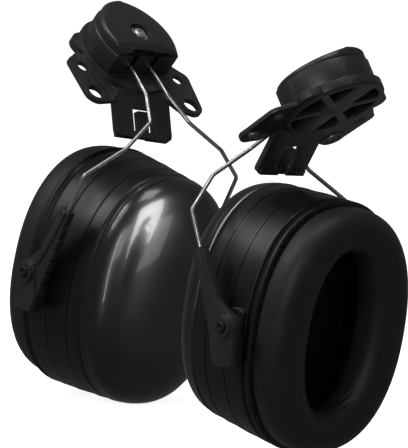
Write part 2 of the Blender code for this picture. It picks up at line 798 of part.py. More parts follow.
def build_dome(bm):
    """Dome of the cup with a thin wall, open towards the body."""
    inset = SEAM_INSET + 0.4
    outer = crown(inset, DOME_RIM_X + 2.0, DOME_TIP_X, 0.62, 7)
    inner = crown(inset + CUP_WALL, DOME_RIM_X + 2.0, DOME_TIP_X - CUP_WALL, 0.62, 5)
    rim = [inset_oval(DOME_RIM_X, SEAM_INSET), inset_oval(DOME_RIM_X, inset + CUP_WALL)]
    loft(bm, outer[::-1] + rim + inner)


def build_seal(bm):
    """Seal between the cup's body and its dome."""
    low, high = SEAL_X
    outer, inner = SEAM_INSET + 0.5, SEAM_INSET + 2.2
    loft(bm, [inset_oval(low, outer), inset_oval(high, outer), inset_oval(high, inner),
              inset_oval(low, inner)], ring=True)


def build_cushion_plate(bm):
    """Ring that holds the cushion on the cup's open end."""
    low, high = PLATE_X
    loft(bm, [inset_oval(low, 0.6), inset_oval(low + 0.6, -0.2), inset_oval(high, -0.2),
              inset_oval(high, 11.0), inset_oval(low, 11.0)], ring=True)


def cushion_profile(inset, opening, steps):
    """Sections down a cushion's side, over its face and back through its opening, all set in."""
    sections = []
    round_r = 10.5 - inset
    depth = CUSHION_FACE_X + inset
    outer = 0.6 + inset
    sections.append(inset_oval(CUSHION_BACK_X, outer))
    for i in range(steps + 1):
        angle = math.radians(90.0 * i / steps)
        x = depth + round_r * (1 - math.sin(angle))
        sections.append(inset_oval(x, outer + round_r * (1 - math.cos(angle))))
    half_w, half_h = opening
    inner_r = 9.5 - inset
    for i in range(steps + 1):
        angle = math.radians(90.0 * (1 - i / steps))
        x = depth + inner_r * (1 - math.sin(angle))
        grow = inset + inner_r * (1 - math.cos(angle))
        sections.append(oval(x, half_w + grow, half_h + grow, 2.2))
    sections.append(oval(CUSHION_BACK_X, half_w + inset, half_h + inset, 2.2))
    return sections


def build_cushion_cover(bm):
    """Cushion cover: a skin that wraps the foam ring, open at its back."""
    outer = cushion_profile(0.0, CUSHION_OPENING, 3)
    inner = cushion_profile(CUSHION_SKIN, CUSHION_OPENING, 2)
    loft(bm, outer + inner[::-1], ring=True)


def build_cushion_foam(bm):
    """Foam ring inside the cover."""
    loft(bm, cushion_profile(CUSHION_SKIN + GAP, CUSHION_OPENING, 1), ring=True)


def build_liner(bm):
    """Sound-absorbing foam block that stands on the dome's floor, with a flat face to the ear."""
    loft(bm, [inset_oval(LINER_X[0], 15.5), inset_oval(LINER_X[0] + 1.5, 14.5), inset_oval(20.0, 9.0),
              inset_oval(LINER_X[1], 12.0)])


def make_cup(prefix, cup_axis):
    """Every piece of the ear cup."""
    shell = shape(prefix + "cup_shell", cup_axis, build_shell, SATIN)
    combine(shell, shape(prefix + "tool_pads", cup_axis, build_pads), "UNION")
    combine(shell, shape(prefix + "tool_stud_bores", cup_axis, build_stud_bores), "DIFFERENCE")
    for side, place in ((-1, "front"), (1, "rear")):
        shape(prefix + place + "_pivot_stud", cup_axis, build_stud(side), SATIN)
    shape(prefix + "cup_dome", cup_axis, build_dome, GLOSS)
    shape(prefix + "cup_seal", cup_axis, build_seal, RUBBER)
    shape(prefix + "cushion_plate", cup_axis, build_cushion_plate, SATIN)
    shape(prefix + "cushion_cover", cup_axis, build_cushion_cover, VINYL)
    shape(prefix + "cushion_foam", cup_axis, build_cushion_foam, FOAM)
    shape(prefix + "acoustic_liner", cup_axis, build_liner, FOAM)


# One unit and the pair ------------------------------------------------------

def pitch_turn(degrees):
    """Turn about y that raises the outward axis."""
    return Matrix.Rotation(math.radians(-degrees), 4, "Y")


def roll_turn(degrees):
    """Turn about the outward axis."""
    return Matrix.Rotation(math.radians(degrees), 4, "X")


def plate_turn(rest):
    """Turn from a level frame to the adapter plate's frame."""
    return pitch_turn(rest["plate_pitch"]) @ roll_turn(rest["plate_roll"])


def make_unit(prefix, unit, rest):
    """One complete unit below its unit empty, with its own rest angles."""
    plate_frame = make_empty(prefix + "plate_frame", unit, (0, 0, 0), plate_turn(rest))
    swivel = make_empty(prefix + "swivel_axis", plate_frame, (0, 0, 0),
                        roll_turn(rest["arm_roll"] - rest["plate_roll"]))
    latch_x, latch_z = tongue_point(tongue_length() - 3.2, 1.1)
    latch_axis = make_empty(prefix + "latch_axis", plate_frame, (latch_x, 0, latch_z))
    arm_axis = make_empty(prefix + "arm_axis", swivel, (SPINDLE[0], 0, SPINDLE[1]))
    down = wire_down()
    lean = math.degrees(math.atan2(-down.x, -down.z))
    slide_turn = Matrix.Rotation(math.radians(lean), 4, "Y")
    top = Vector(SLEEVE_TOP) + down * rest["slide"]
    slide_axis = make_empty(prefix + "slide_axis", swivel, (top.x, 0, top.z), slide_turn)
    level = pitch_turn(rest["cup_tilt"] - rest["plate_pitch"])
    cup_axis = make_empty(prefix + "cup_axis", slide_axis, (PIVOT_N, 0, -PIVOT_S),
                          slide_turn.inverted() @ level)
    bpy.context.view_layer.update()
    make_adapter(prefix, plate_frame, latch_axis)
    make_screw_stack(prefix, plate_frame)
    make_swivel(prefix, swivel)
    make_yoke(prefix, swivel, arm_axis)
    make_sleeves(prefix, slide_axis)
    make_cup(prefix, cup_axis)


def row_origin():
    """Row origin in the first unit's frame: on the tongue's helmet face, above its latch."""
    x, z = tongue_point(3.0, 0.0)
    return plate_turn(FIRST_REST) @ Vector((x, 0.0, z))


def main():
    """Build the pair."""
    clear_scene()
    shift = -row_origin()
    first = make_empty("left_unit", None, shift)
    second = make_empty("right_unit", None, Vector(PAIR_OFFSET) + shift,
                        Matrix.Rotation(math.pi, 4, "Z"))
    make_unit("left_", first, FIRST_REST)
    make_unit("right_", second, SECOND_REST)


main()
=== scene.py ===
import json
import math

import bmesh
import bpy
from mathutils import Matrix, Vector


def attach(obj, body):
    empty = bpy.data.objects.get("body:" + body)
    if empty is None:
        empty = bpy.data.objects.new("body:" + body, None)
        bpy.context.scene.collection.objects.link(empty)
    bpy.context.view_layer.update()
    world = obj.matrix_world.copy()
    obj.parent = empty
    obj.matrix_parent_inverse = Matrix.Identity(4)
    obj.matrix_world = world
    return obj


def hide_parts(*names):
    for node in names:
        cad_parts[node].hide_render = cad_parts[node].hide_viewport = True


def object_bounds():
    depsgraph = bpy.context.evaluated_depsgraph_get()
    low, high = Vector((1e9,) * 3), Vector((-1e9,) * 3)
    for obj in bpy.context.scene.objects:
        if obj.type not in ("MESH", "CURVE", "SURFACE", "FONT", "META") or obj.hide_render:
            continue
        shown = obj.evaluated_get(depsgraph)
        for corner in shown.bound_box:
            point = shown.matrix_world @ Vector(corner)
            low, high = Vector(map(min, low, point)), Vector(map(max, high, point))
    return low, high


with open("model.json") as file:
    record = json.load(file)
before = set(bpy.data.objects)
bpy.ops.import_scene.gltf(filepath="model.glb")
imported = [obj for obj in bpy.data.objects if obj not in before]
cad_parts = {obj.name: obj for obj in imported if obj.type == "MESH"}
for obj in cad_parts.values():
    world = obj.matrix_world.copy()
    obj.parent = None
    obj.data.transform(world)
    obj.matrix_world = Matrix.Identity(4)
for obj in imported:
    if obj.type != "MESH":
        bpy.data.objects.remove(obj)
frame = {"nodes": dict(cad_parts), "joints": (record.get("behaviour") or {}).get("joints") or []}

cad_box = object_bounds()
MM = 0.001
SIDES = ("left", "right")

# Rest angles of each unit, in degrees, as the CAD has them
REST = {
    "left": {"turn": 0.0, "pitch": 51.3, "plate_roll": -10.9, "arm_roll": -2.9,
             "tilt": -9.5, "slide": 1.0},
    "right": {"turn": 180.0, "pitch": 55.0, "plate_roll": 5.5, "arm_roll": -1.1,
              "tilt": 8.5, "slide": -0.4},
}

# Cup sizes in millimetres, in the cup's own frame: x outward, z up
CENTRE_Z = 0.5
HALF_W = 39.4
HALF_H = 53.0
POWER = 2.25
SEAM_INSET = 2.4
DOME_RIM_X = 28.3
DOME_TIP_X = 47.0
STEPS = 96
GAP = 0.3
PLATE_X = (-9.0, -4.9)
SHELL_X = (-4.6, 26.9)
SEAL_X = (27.2, 28.0)
CUP_WALL = 2.4
CUSHION_FACE_X = -26.0
CUSHION_BACK_X = -9.3
CUSHION_OPENING = (16.5, 33.0)
CUSHION_SLACK = 1.5
CUSHION_GROWTH = 1.4
CUSHION_PRESSURE = 4.0
CLOTH_FRAMES = 20
OPENING_POWER = 2.2
STUD_R = 2.5
LINER_X = (3.5, 31.0)

# Adapter plate, in its own frame: x along the swivel axis, away from the helmet
RIM_R = 22.0
RIM_INNER_R = 19.2
SPOKE_FACE_X = -2.0
BASE_TOP_X = 2.5
POCKET_FLOOR_X = 1.8
HUB_R = 7.8
WIDE_SPOKE = 10.5
THIN_SPOKE = 3.4
WING_X = (-1.2, 0.6)
WING_HOLE_Y = 25.4
WING_HOLE_Z = (-9.1, -24.9)
WING_HOLE_R = (2.5, 3.6)
LOBE_R = 6.5
LOBE_AT = (18.6, 5.0)
TONGUE_TOP = (-2.4, -21.6)
TONGUE_FOOT = (-11.4, -38.1)
TONGUE_HALF_W = 15.0
TONGUE_T = 2.4
LATCH_W = 6.8
LATCH_H = 8.5
SLIT = 1.7

# Swivel housing and its cap
HOUSING_R = 20.2
HOUSING_FLOOR_T = 1.5
HOUSING_TOP_X = 12.5
HOUSING_WALL = 2.0
CHORD_Z = -11.0
CHORD_WALL = 1.5
CAP_R = 19.6
CAP_FACE_X = 17.0
CAP_SKIN = 1.4
CAP_DROP = 3.0
CAP_CHAMFER = 6.0
RECESS_R = 5.0
RECESS_X = 14.4

# Centre screw
SCREW_R = 1.5
HEAD_R = 2.9
HEAD_T = 1.4
WASHER_R = 4.4
WASHER_T = 0.5
INSERT_R = 3.6

# Spring-loaded wire yoke
SPINDLE = (8.6, -4.5)
SPINDLE_R = 1.25
WIRE_R = 0.9
WIRE_LINE_X = 6.0
LEG_Y = 5.6
ROUTE = ((4.9, 6.1, -26.6), (2.6, 11.4, -41.2), (-3.6, 27.5, -51.2), (-17.6, 44.2, -53.6))
SLEEVE_TOP = (-36.3, 44.2, -57.7)
WIRE_IN_SLEEVE = 30.0
BEND_R = 3.5

# Sleeves, in a frame that runs down the wire: x outward, -z down the wire
SLEEVE_IN_Y = 42.6
SLEEVE_OUT_Y = 46.2
KNUCKLE_IN_Y = 41.2
PIVOT_N = -5.8
PIVOT_S = 32.6
BOSS_R = 5.4
BOSS_OUT_Y = 48.6
NOTCH_COUNT = 6
NOTCH_PITCH = 5.6
GROOVE_END = 45.4


# Frames ---------------------------------------------------------------------

def joint(name):
    """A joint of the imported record."""
    for item in frame["joints"]:
        if item["name"] == name:
            return item
    raise KeyError(name)


def pitch_turn(degrees):
    """Turn about y that raises the outward axis."""
    return Matrix.Rotation(math.radians(-degrees), 4, "Y")


def roll_turn(degrees):
    """Turn about the outward axis."""
    return Matrix.Rotation(math.radians(degrees), 4, "X")


def wire_down():
    """Direction of the wire's straight lower stretch, in the swivel frame."""
    bend, top = Vector(ROUTE[-1]), Vector(SLEEVE_TOP)
    return (top - bend).normalized()


def unit_frames(side):
    """Frames of one unit's plate, swivel, cup and sleeves, from millimetres to metres."""
    rest = REST[side]
    base = Matrix.Rotation(math.radians(rest["turn"]), 4, "Z") @ pitch_turn(rest["pitch"])
    centre = Matrix.Translation(joint(side + "_swivel_turn")["pos_m"])
    pivot = Matrix.Translation(joint(side + "_cup_tilt")["pos_m"])
    arm = base @ roll_turn(rest["arm_roll"])
    cup = arm @ pitch_turn(rest["tilt"] - rest["pitch"])
    down = wire_down()
    lean = Matrix.Rotation(math.atan2(-down.x, -down.z), 4, "Y")
    top = Vector(SLEEVE_TOP) + down * rest["slide"]
    scale = Matrix.Scale(MM, 4)
    return {
        "plate": centre @ base @ roll_turn(rest["plate_roll"]) @ scale,
        "swivel": centre @ arm @ scale,
        "cup": pivot @ cup @ scale,
        "slide": centre @ arm @ Matrix.Translation((top.x * MM, 0.0, top.z * MM)) @ lean @ scale,
    }


FRAMES = {side: unit_frames(side) for side in SIDES}


# Mesh helpers ---------------------------------------------------------------

def finish_piece(bm, name, matrix, material, smooth_angle=35.0):
    """Turn a bmesh in local millimetres into an object whose vertices are in the row frame."""
    bmesh.ops.recalc_face_normals(bm, faces=bm.faces[:])
    mesh = bpy.data.meshes.new(name)
    bm.to_mesh(mesh)
    bm.free()
    mesh.transform(matrix)
    mesh.shade_smooth()
    mesh.set_sharp_from_angle(angle=math.radians(smooth_angle))
    piece = bpy.data.objects.new(name, mesh)
    bpy.context.scene.collection.objects.link(piece)
    if material is not None:
        mesh.materials.append(material)
    return piece


def bridge(bm, first, second):
    """Faces between two loops of the same length."""
    count = len(first)
    for i in range(count):
        j = (i + 1) % count
        bm.faces.new((first[i], first[j], second[j], second[i]))


def loft(bm, sections, ring=False, open_ends=False):
    """Skin through closed sections; a ring joins its last section to its first."""
    loops = [[bm.verts.new(point) for point in section] for section in sections]
    for first, second in zip(loops, loops[1:]):
        bridge(bm, first, second)
    if ring:
        bridge(bm, loops[-1], loops[0])
    elif not open_ends:
        bm.faces.new(loops[0])
        bm.faces.new(loops[-1])
    return loops


def oval(x, half_w, half_h, power=POWER, steps=STEPS):
    """Rounded oval section of the cup at one depth."""
    points = []
    for i in range(steps):
        angle = 2 * math.pi * (i + 0.5) / steps
        c, s = math.cos(angle), math.sin(angle)
        y = half_w * math.copysign(abs(c) ** (2 / power), c)
        z = half_h * math.copysign(abs(s) ** (2 / power), s)
        points.append((x, y, z + CENTRE_Z))
    return points


def inset_oval(x, inset, power=POWER, steps=STEPS):
    """Section set in from the cup's outer wall."""
    return oval(x, HALF_W - inset, HALF_H - inset, power, steps)


def turned(bm, profile, steps):
    """Solid of revolution about x from a closed (height, radius) profile that clears its axis."""
    sections = []
    for i in range(steps):
        angle = 2 * math.pi * i / steps
        c, s = math.cos(angle), math.sin(angle)
        sections.append([(h, r * c, r * s) for h, r in profile])
    loft(bm, sections, ring=True)


def rod(bm, stations, steps, centre=(0.0, 0.0), axis="x"):
    """Solid round bar from (height, radius) stations along its axis."""
    sections = []
    for h, r in stations:
        ring = []
        for i in range(steps):
            angle = 2 * math.pi * i / steps
            c, s = r * math.cos(angle), r * math.sin(angle)
            if axis == "x":
                ring.append((h, centre[0] + c, centre[1] + s))
            else:
                ring.append((centre[0] + c, h, centre[1] + s))
        sections.append(ring)
    loft(bm, sections)


def prism(bm, outline, low, high, axis="x"):
    """Extrude an outline along x (points are y, z) or along y (points are x, z)."""
    if axis == "x":
        sections = [[(h, u, v) for u, v in outline] for h in (low, high)]
    else:
        sections = [[(u, h, v) for u, v in outline] for h in (low, high)]
    loft(bm, sections)


def box(bm, low, high):
    """Box between two corners."""
    outline = [(low[1], low[2]), (high[1], low[2]), (high[1], high[2]), (low[1], high[2])]
    prism(bm, outline, low[0], high[0])


def arc(centre, radius, start, end, steps):
    """Points on an arc, angles in degrees."""
    points = []
    for i in range(steps + 1):
        angle = math.radians(start + (end - start) * i / steps)
        points.append((centre[0] + radius * math.cos(angle), centre[1] + radius * math.sin(angle)))
    return points


def evaluated(piece):
    """Apply a piece's modifiers to its mesh."""
    depsgraph = bpy.context.evaluated_depsgraph_get()
    mesh = bpy.data.meshes.new_from_object(piece.evaluated_get(depsgraph))
    old = piece.data
    piece.modifiers.clear()
    piece.data = mesh
    bpy.data.meshes.remove(old)


def solid(name, matrix, material, base, steps=(), bevel=0.35):
    """Piece from a base shape and Boolean steps, with softened edges; builders work in millimetres."""
    bm = bmesh.new()
    base(bm)
    piece = finish_piece(bm, name, Matrix.Identity(4), material)
    tools = []
    for build, operation in steps:
        bm = bmesh.new()
        build(bm)
        tool = finish_piece(bm, name + "_tool", Matrix.Identity(4), None)
        step = piece.modifiers.new(operation, "BOOLEAN")
        step.operation = operation
        step.solver = "EXACT"
        step.use_self = True
        step.object = tool
        tools.append(tool)
    evaluated(piece)
    for tool in tools:
        bpy.data.objects.remove(tool, do_unlink=True)
    if bevel:
        soften = piece.modifiers.new("soften", "BEVEL")
        soften.width = bevel
        soften.segments = 3
        soften.limit_method = "ANGLE"
        soften.angle_limit = math.radians(38)
        soften.miter_outer = "MITER_ARC"
        soften.harden_normals = False
        evaluated(piece)
    piece.data.transform(matrix)
    piece.data.validate()
    piece.data.shade_smooth()
    piece.data.set_sharp_from_angle(angle=math.radians(32))
    return piece


def place(piece, side, body, slot, *nodes):
    """Attach a piece to its body and hide the CAD nodes it stands for; the slot argument is not used."""
    if nodes:
        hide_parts(*[side + "_" + node for node in nodes])
    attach(piece, side + "_" + body)


# Materials ------------------------------------------------------------------

def new_material(name):
    """A material with a Principled BSDF, and its node helpers."""
    material = bpy.data.materials.new(name)
    material.use_nodes = True
    return material, material.node_tree.nodes, material.node_tree.links


def set_values(shader, **values):
    """Constant values on the shader's own sockets."""
    for key, value in values.items():
        shader.inputs[key.replace("_", " ")].default_value = value


def texture(nodes, links, kind, scale, **settings):
    """A 3-D texture in object coordinates, with scale in features per metre."""
    coords = nodes.get("coords") or nodes.new("ShaderNodeTexCoord")
    coords.name = "coords"
    node = nodes.new(kind)
    links.new(coords.outputs["Object"], node.inputs["Vector"])
    node.inputs["Scale"].default_value = scale
    for key, value in settings.items():
        node.inputs[key.replace("_", " ")].default_value = value
    return node


def ramp(nodes, links, source, low, high, start=0.35, end=0.65):
    """Map a 0 to 1 value to a range of values or colours."""
    node = nodes.new("ShaderNodeMapRange")
    links.new(source, node.inputs["Value"])
    node.inputs["From Min"].default_value = start
    node.inputs["From Max"].default_value = end
    node.inputs["To Min"].default_value = low
    node.inputs["To Max"].default_value = high
    return node.outputs["Result"]


def mix_colour(nodes, links, factor, low, high):
    """Blend of two colours by a factor."""
    node = nodes.new("ShaderNodeMix")
    node.data_type = "RGBA"
    links.new(factor, node.inputs["Factor"])
    node.inputs["A"].default_value = (*low, 1.0)
    node.inputs["B"].default_value = (*high, 1.0)
    return node.outputs["Result"]


def add_bump(nodes, links, shader, heights):
    """Chain of bumps: (height output, distance in metres, strength)."""
    normal = None
    for height, distance, strength in heights:
        node = nodes.new("ShaderNodeBump")
        node.inputs["Distance"].default_value = distance
        node.inputs["Strength"].default_value = strength
        links.new(height, node.inputs["Height"])
        if normal is not None:
            links.new(normal, node.inputs["Normal"])
        normal = node.outputs["Normal"]
    links.new(normal, shader.inputs["Normal"])


def edge_wear(nodes, links):
    """0 on flat areas, 1 on worn convex edges."""
    geometry = nodes.new("ShaderNodeNewGeometry")
    noise = texture(nodes, links, "ShaderNodeTexNoise", 900.0, Detail=3.0)
    edges = ramp(nodes, links, geometry.outputs["Pointiness"], 0.0, 1.0, 0.53, 0.62)
    patches = ramp(nodes, links, noise.outputs["Fac"], 0.0, 1.0, 0.4, 0.6)
    product = nodes.new("ShaderNodeMath")
    product.operation = "MULTIPLY"
    links.new(edges, product.inputs[0])
    links.new(patches, product.inputs[1])
    return product.outputs["Value"]


def moulded_plastic(name, colour, worn, roughness, grain_strength, specular=0.5):
    """Black moulded plastic: fine spark-eroded grain, faint handling marks, paler worn edges."""
    material, nodes, links = new_material(name)
    shader = nodes["Principled BSDF"]
    set_values(shader, Specular_IOR_Level=specular)
    grain = texture(nodes, links, "ShaderNodeTexNoise", 2600.0, Detail=2.0)
    marks = texture(nodes, links, "ShaderNodeTexNoise", 90.0, Detail=5.0)
    spread = roughness * 0.18
    rough = ramp(nodes, links, marks.outputs["Fac"], roughness - spread, roughness + spread, 0.3, 0.7)
    links.new(rough, shader.inputs["Roughness"])
    links.new(mix_colour(nodes, links, edge_wear(nodes, links), colour, worn), shader.inputs["Base Color"])
    add_bump(nodes, links, shader, [(grain.outputs["Fac"], 0.0002, grain_strength),
                                    (marks.outputs["Fac"], 0.0004, 0.05)])
    return material


def gloss_plastic(name, colour):
    """Polished black plastic: slight moulding waves, smeared, uneven roughness and a few dust specks."""
    material, nodes, links = new_material(name)
    shader = nodes["Principled BSDF"]
    set_values(shader, Specular_IOR_Level=0.5, Coat_Weight=0.35, Coat_Roughness=0.05)
    waves = texture(nodes, links, "ShaderNodeTexNoise", 45.0, Detail=1.0)
    smears = texture(nodes, links, "ShaderNodeTexNoise", 60.0, Detail=6.0, Roughness=0.65)
    dust = texture(nodes, links, "ShaderNodeTexVoronoi", 420.0)
    rough = ramp(nodes, links, smears.outputs["Fac"], 0.27, 0.33, 0.35, 0.7)
    links.new(rough, shader.inputs["Roughness"])
    specks = ramp(nodes, links, dust.outputs["Distance"], 1.0, 0.0, 0.02, 0.05)
    links.new(mix_colour(nodes, links, specks, colour, (0.05, 0.05, 0.052)), shader.inputs["Base Color"])
    add_bump(nodes, links, shader, [(waves.outputs["Fac"], 0.0006, 0.05)])
    return material


def soft_vinyl(name, colour):
    """Soft black vinyl: fine pebble grain, a dull sheen and slightly uneven roughness."""
    material, nodes, links = new_material(name)
    shader = nodes["Principled BSDF"]
    set_values(shader, Specular_IOR_Level=0.36, Sheen_Weight=0.04, Sheen_Roughness=0.45)
    pebble = texture(nodes, links, "ShaderNodeTexVoronoi", 1500.0)
    fine = texture(nodes, links, "ShaderNodeTexNoise", 3200.0, Detail=2.0)
    folds = texture(nodes, links, "ShaderNodeTexNoise", 55.0, Detail=4.0)
    rough = ramp(nodes, links, folds.outputs["Fac"], 0.42, 0.56, 0.3, 0.7)
    links.new(rough, shader.inputs["Roughness"])
    tone = ramp(nodes, links, folds.outputs["Fac"], 0.0, 1.0, 0.35, 0.65)
    paler = tuple(channel * 1.35 for channel in colour)
    links.new(mix_colour(nodes, links, tone, colour, paler), shader.inputs["Base Color"])
    add_bump(nodes, links, shader, [(folds.outputs["Fac"], 0.0008, 0.12),
                                    (pebble.outputs["Distance"], 0.00015, 0.16),
                                    (fine.outputs["Fac"], 0.00008, 0.12)])
    return material


def open_foam(name, colour):
    """Dark open-cell foam with visible pores, whose hollows are coloured darker as painted shade."""
    material, nodes, links = new_material(name)
    shader = nodes["Principled BSDF"]
    set_values(shader, Specular_IOR_Level=0.15, Roughness=0.95, Sheen_Weight=0.15)
    pores = texture(nodes, links, "ShaderNodeTexVoronoi", 950.0)
    lumps = texture(nodes, links, "ShaderNodeTexNoise", 160.0, Detail=4.0)
    # Painted shade: toward each pore's centre the colour falls to 35 per cent of the foam's, standing for
    # shade in the pore hollows.
    hole = ramp(nodes, links, pores.outputs["Distance"], 0.0, 1.0, 0.15, 0.5)
    pore_shade_colour = tuple(channel * 0.35 for channel in colour)
    links.new(mix_colour(nodes, links, hole, pore_shade_colour, colour), shader.inputs["Base Color"])
    add_bump(nodes, links, shader, [(lumps.outputs["Fac"], 0.0015, 0.4),
                                    (pores.outputs["Distance"], 0.0006, 0.7)])
    return material


def bright_metal(name, colour, roughness, line_axis):
    """Bright drawn or turned metal with fine lines and slight tarnish."""
    material, nodes, links = new_material(name)
    shader = nodes["Principled BSDF"]
    set_values(shader, Metallic=1.0)
    coords = nodes.new("ShaderNodeTexCoord")
    stretch = nodes.new("ShaderNodeMapping")
    stretch.inputs["Scale"].default_value = line_axis
    links.new(coords.outputs["Object"], stretch.inputs["Vector"])
    lines = nodes.new("ShaderNodeTexNoise")
    lines.inputs["Scale"].default_value = 2500.0
    lines.inputs["Detail"].default_value = 2.0
    links.new(stretch.outputs["Vector"], lines.inputs["Vector"])
    tarnish = texture(nodes, links, "ShaderNodeTexNoise", 220.0, Detail=4.0)
    rough = ramp(nodes, links, tarnish.outputs["Fac"], roughness * 0.75, roughness * 1.4, 0.3, 0.7)
    links.new(rough, shader.inputs["Roughness"])
    dull = tuple(channel * 0.72 for channel in colour)
    tone = ramp(nodes, links, tarnish.outputs["Fac"], 0.0, 1.0, 0.35, 0.6)
    links.new(mix_colour(nodes, links, tone, colour, dull), shader.inputs["Base Color"])
    add_bump(nodes, links, shader, [(lines.outputs["Fac"], 0.00001, 0.04)])
    return material


MATTE = moulded_plastic("matte_black_plastic", (0.020, 0.020, 0.021), (0.050, 0.050, 0.052),
                        0.38, 0.14, 0.64)
SATIN = moulded_plastic("satin_black_plastic", (0.008, 0.008, 0.009), (0.026, 0.026, 0.028),
                        0.36, 0.07, 0.36)
GLOSS = gloss_plastic("gloss_black_plastic", (0.005, 0.005, 0.0055))
VINYL = soft_vinyl("black_vinyl", (0.014, 0.014, 0.0145))
FOAM = open_foam("liner_foam", (0.016, 0.016, 0.017))
CUSHION_FOAM = open_foam("cushion_foam", (0.035, 0.035, 0.036))
STEEL = bright_metal("bright_steel", (0.60, 0.60, 0.61), 0.36, (1.0, 1.0, 0.04))
SCREW_STEEL = bright_metal("screw_steel", (0.80, 0.80, 0.80), 0.36, (1.0, 1.0, 0.3))
BRASS = bright_metal("insert_brass", (0.70, 0.52, 0.24), 0.28, (1.0, 1.0, 0.2))
RUBBER = moulded_plastic("seal_rubber", (0.014, 0.014, 0.015), (0.022, 0.022, 0.023), 0.7, 0.3)


def paint(node, material):
    """Give a CAD node a finished material."""
    mesh = frame["nodes"][node].data
    mesh.materials.clear()
    mesh.materials.append(material)


CAD_LOOKS = {
    "adapter_plate": MATTE, "tongue_latch": MATTE, "swivel_housing": MATTE, "swivel_cap": MATTE,
    "wire_carrier": MATTE, "front_sleeve": MATTE, "rear_sleeve": MATTE, "cup_shell": SATIN,
    "front_pivot_stud": SATIN, "rear_pivot_stud": SATIN, "cushion_plate": SATIN, "cup_dome": GLOSS,
    "cup_seal": RUBBER, "pivot_screw": STEEL, "screw_washer": STEEL, "arm_spindle": STEEL,
    "tension_spring": STEEL, "wire_yoke": STEEL, "threaded_insert": BRASS,
    "cushion_cover": VINYL, "cushion_foam": CUSHION_FOAM, "acoustic_liner": FOAM,
}


def paint_cad():
    """Every CAD node gets its material."""
    for side in SIDES:
        for node, material in CAD_LOOKS.items():
            paint(side + "_" + node, material)


paint_cad()


# Cup ------------------------------------------------------------------------

def quarter(start, end, steps):
    """Fractions along a quarter turn: (sine, one minus cosine) from start to end degrees."""
    pairs = []
    for i in range(steps + 1):
        angle = math.radians(start + (end - start) * i / steps)
        pairs.append((math.sin(angle), 1 - math.cos(angle)))
    return pairs


def wall_inset(x):
    """How far the tapered drum wall lies inside the cup's widest outline."""
    along = (x - SHELL_X[0]) / (SHELL_X[1] - SHELL_X[0])
    return SEAM_INSET * (0.8 * along if along < 0.5 else 0.4 + 1.2 * (along - 0.5))


def cup_ring(side, name, profile, material, smooth_angle, slot, node):
    """Ring of the cup from a closed profile of (x, inset from the outer wall)."""
    bm = bmesh.new()
    loft(bm, [inset_oval(x, inset) for x, inset in profile], ring=True)
    piece = finish_piece(bm, side + name, FRAMES[side]["cup"], material, smooth_angle)
    place(piece, side, "cup", slot, node)


def build_shell(side):
    """Drum with a rolled edge by the cushion, a parting groove and a step by the dome."""
    low, high = SHELL_X
    outer = [(low, 1.1), (low + 0.15, 0.55), (low + 0.5, 0.2), (low + 1.1, 0.12), (low + 2.0, 0.14)]
    for centre in (6.5, 19.0):
        base = wall_inset(centre)
        outer += [(centre - 1.6, base), (centre - 0.35, base), (centre - 0.2, base + 0.35),
                  (centre + 0.2, base + 0.35), (centre + 0.35, base + 0.05), (centre + 1.6, base + 0.05)]
    outer += [(high - 1.8, SEAM_INSET - 0.05), (high - 0.5, SEAM_INSET), (high, SEAM_INSET + 0.4)]
    inner = [(high, SEAM_INSET + CUP_WALL), (low, CUP_WALL)]
    cup_ring(side, "_drum", outer + inner, SATIN, 40.0, "satin_black_plastic", "cup_shell")


def arch_outline(grow):
    """Arched pad under a sleeve's knuckle, seen along y."""
    outline = arc((0.0, 0.0), 8.0 + grow, 180, 0, 32)
    outline += [(7.0 + grow, -13.0 - grow), (SHELL_X[0] + 0.6, -13.0 - grow)]
    return [(max(x, SHELL_X[0] + 0.6), z) for x, z in outline]


def build_pad(sign):
    """Raised pad on one side of the drum."""
    def build(bm):
        low, high = sorted((sign * (HALF_W - 2.2), sign * (KNUCKLE_IN_Y - GAP)))
        prism(bm, arch_outline(-0.1), low, high, axis="y")
    return build


def build_stud(sign):
    """Pivot stud with a rounded, dimpled end."""
    def build(bm):
        inner = HALF_W - CUP_WALL - GAP - 0.8
        ends = [(inner - 1.4, 3.9), (inner - 0.2, 3.9), (inner - 0.2, STUD_R), (BOSS_OUT_Y + 0.3, STUD_R)]
        ends += [(BOSS_OUT_Y + 0.3 + 0.6 * s, STUD_R - 0.6 * c) for s, c in quarter(0, 90, 6)]
        ends += [(BOSS_OUT_Y + 0.9, 1.1), (BOSS_OUT_Y + 0.4, 0.7)]
        stations = [(sign * h, r) for h, r in ends]
        rod(bm, stations, 40, axis="y")
    return build


def make_drum_fittings(side):
    """Pads and pivot studs on both sides of the drum."""
    for sign, name in ((-1, "front"), (1, "rear")):
        pad = solid(side + "_" + name + "_pad", FRAMES[side]["cup"], SATIN, build_pad(sign), (), 0.5)
        place(pad, side, "cup", "satin_black_plastic")
        stud = solid(side + "_" + name + "_stud", FRAMES[side]["cup"], SATIN, build_stud(sign), (), 0.1)
        place(stud, side, "cup", "satin_black_plastic", name + "_pivot_stud")


def build_seal(side):
    """Soft seal with a slightly bulged edge between the drum and the dome."""
    low, high = SEAL_X
    middle = (low + high) / 2
    profile = [(low, SEAM_INSET + 0.5), (low + 0.1, SEAM_INSET + 0.25), (middle, SEAM_INSET + 0.15),
               (high - 0.1, SEAM_INSET + 0.25), (high, SEAM_INSET + 0.5), (high, SEAM_INSET + 2.2),
               (low, SEAM_INSET + 2.2)]
    cup_ring(side, "_seal", profile, RUBBER, 50.0, "seal_rubber", "cup_seal")


def build_cushion_plate(side):
    """Cushion ring with one rounded rib and a plain band round its edge."""
    low, high = PLATE_X
    profile = [(low, 1.0), (low + 0.15, 0.4)]
    for s, c in quarter(-90, 90, 10):
        profile.append((low + 1.15 + s, 0.4 - 0.55 * (1 - c)))
    profile += [(low + 2.3, 0.55), (high - 0.3, 0.6), (high, 0.95), (high, 11.0), (low, 11.0)]
    cup_ring(side, "_cushion_ring", profile, SATIN, 50.0, "satin_black_plastic", "cushion_plate")


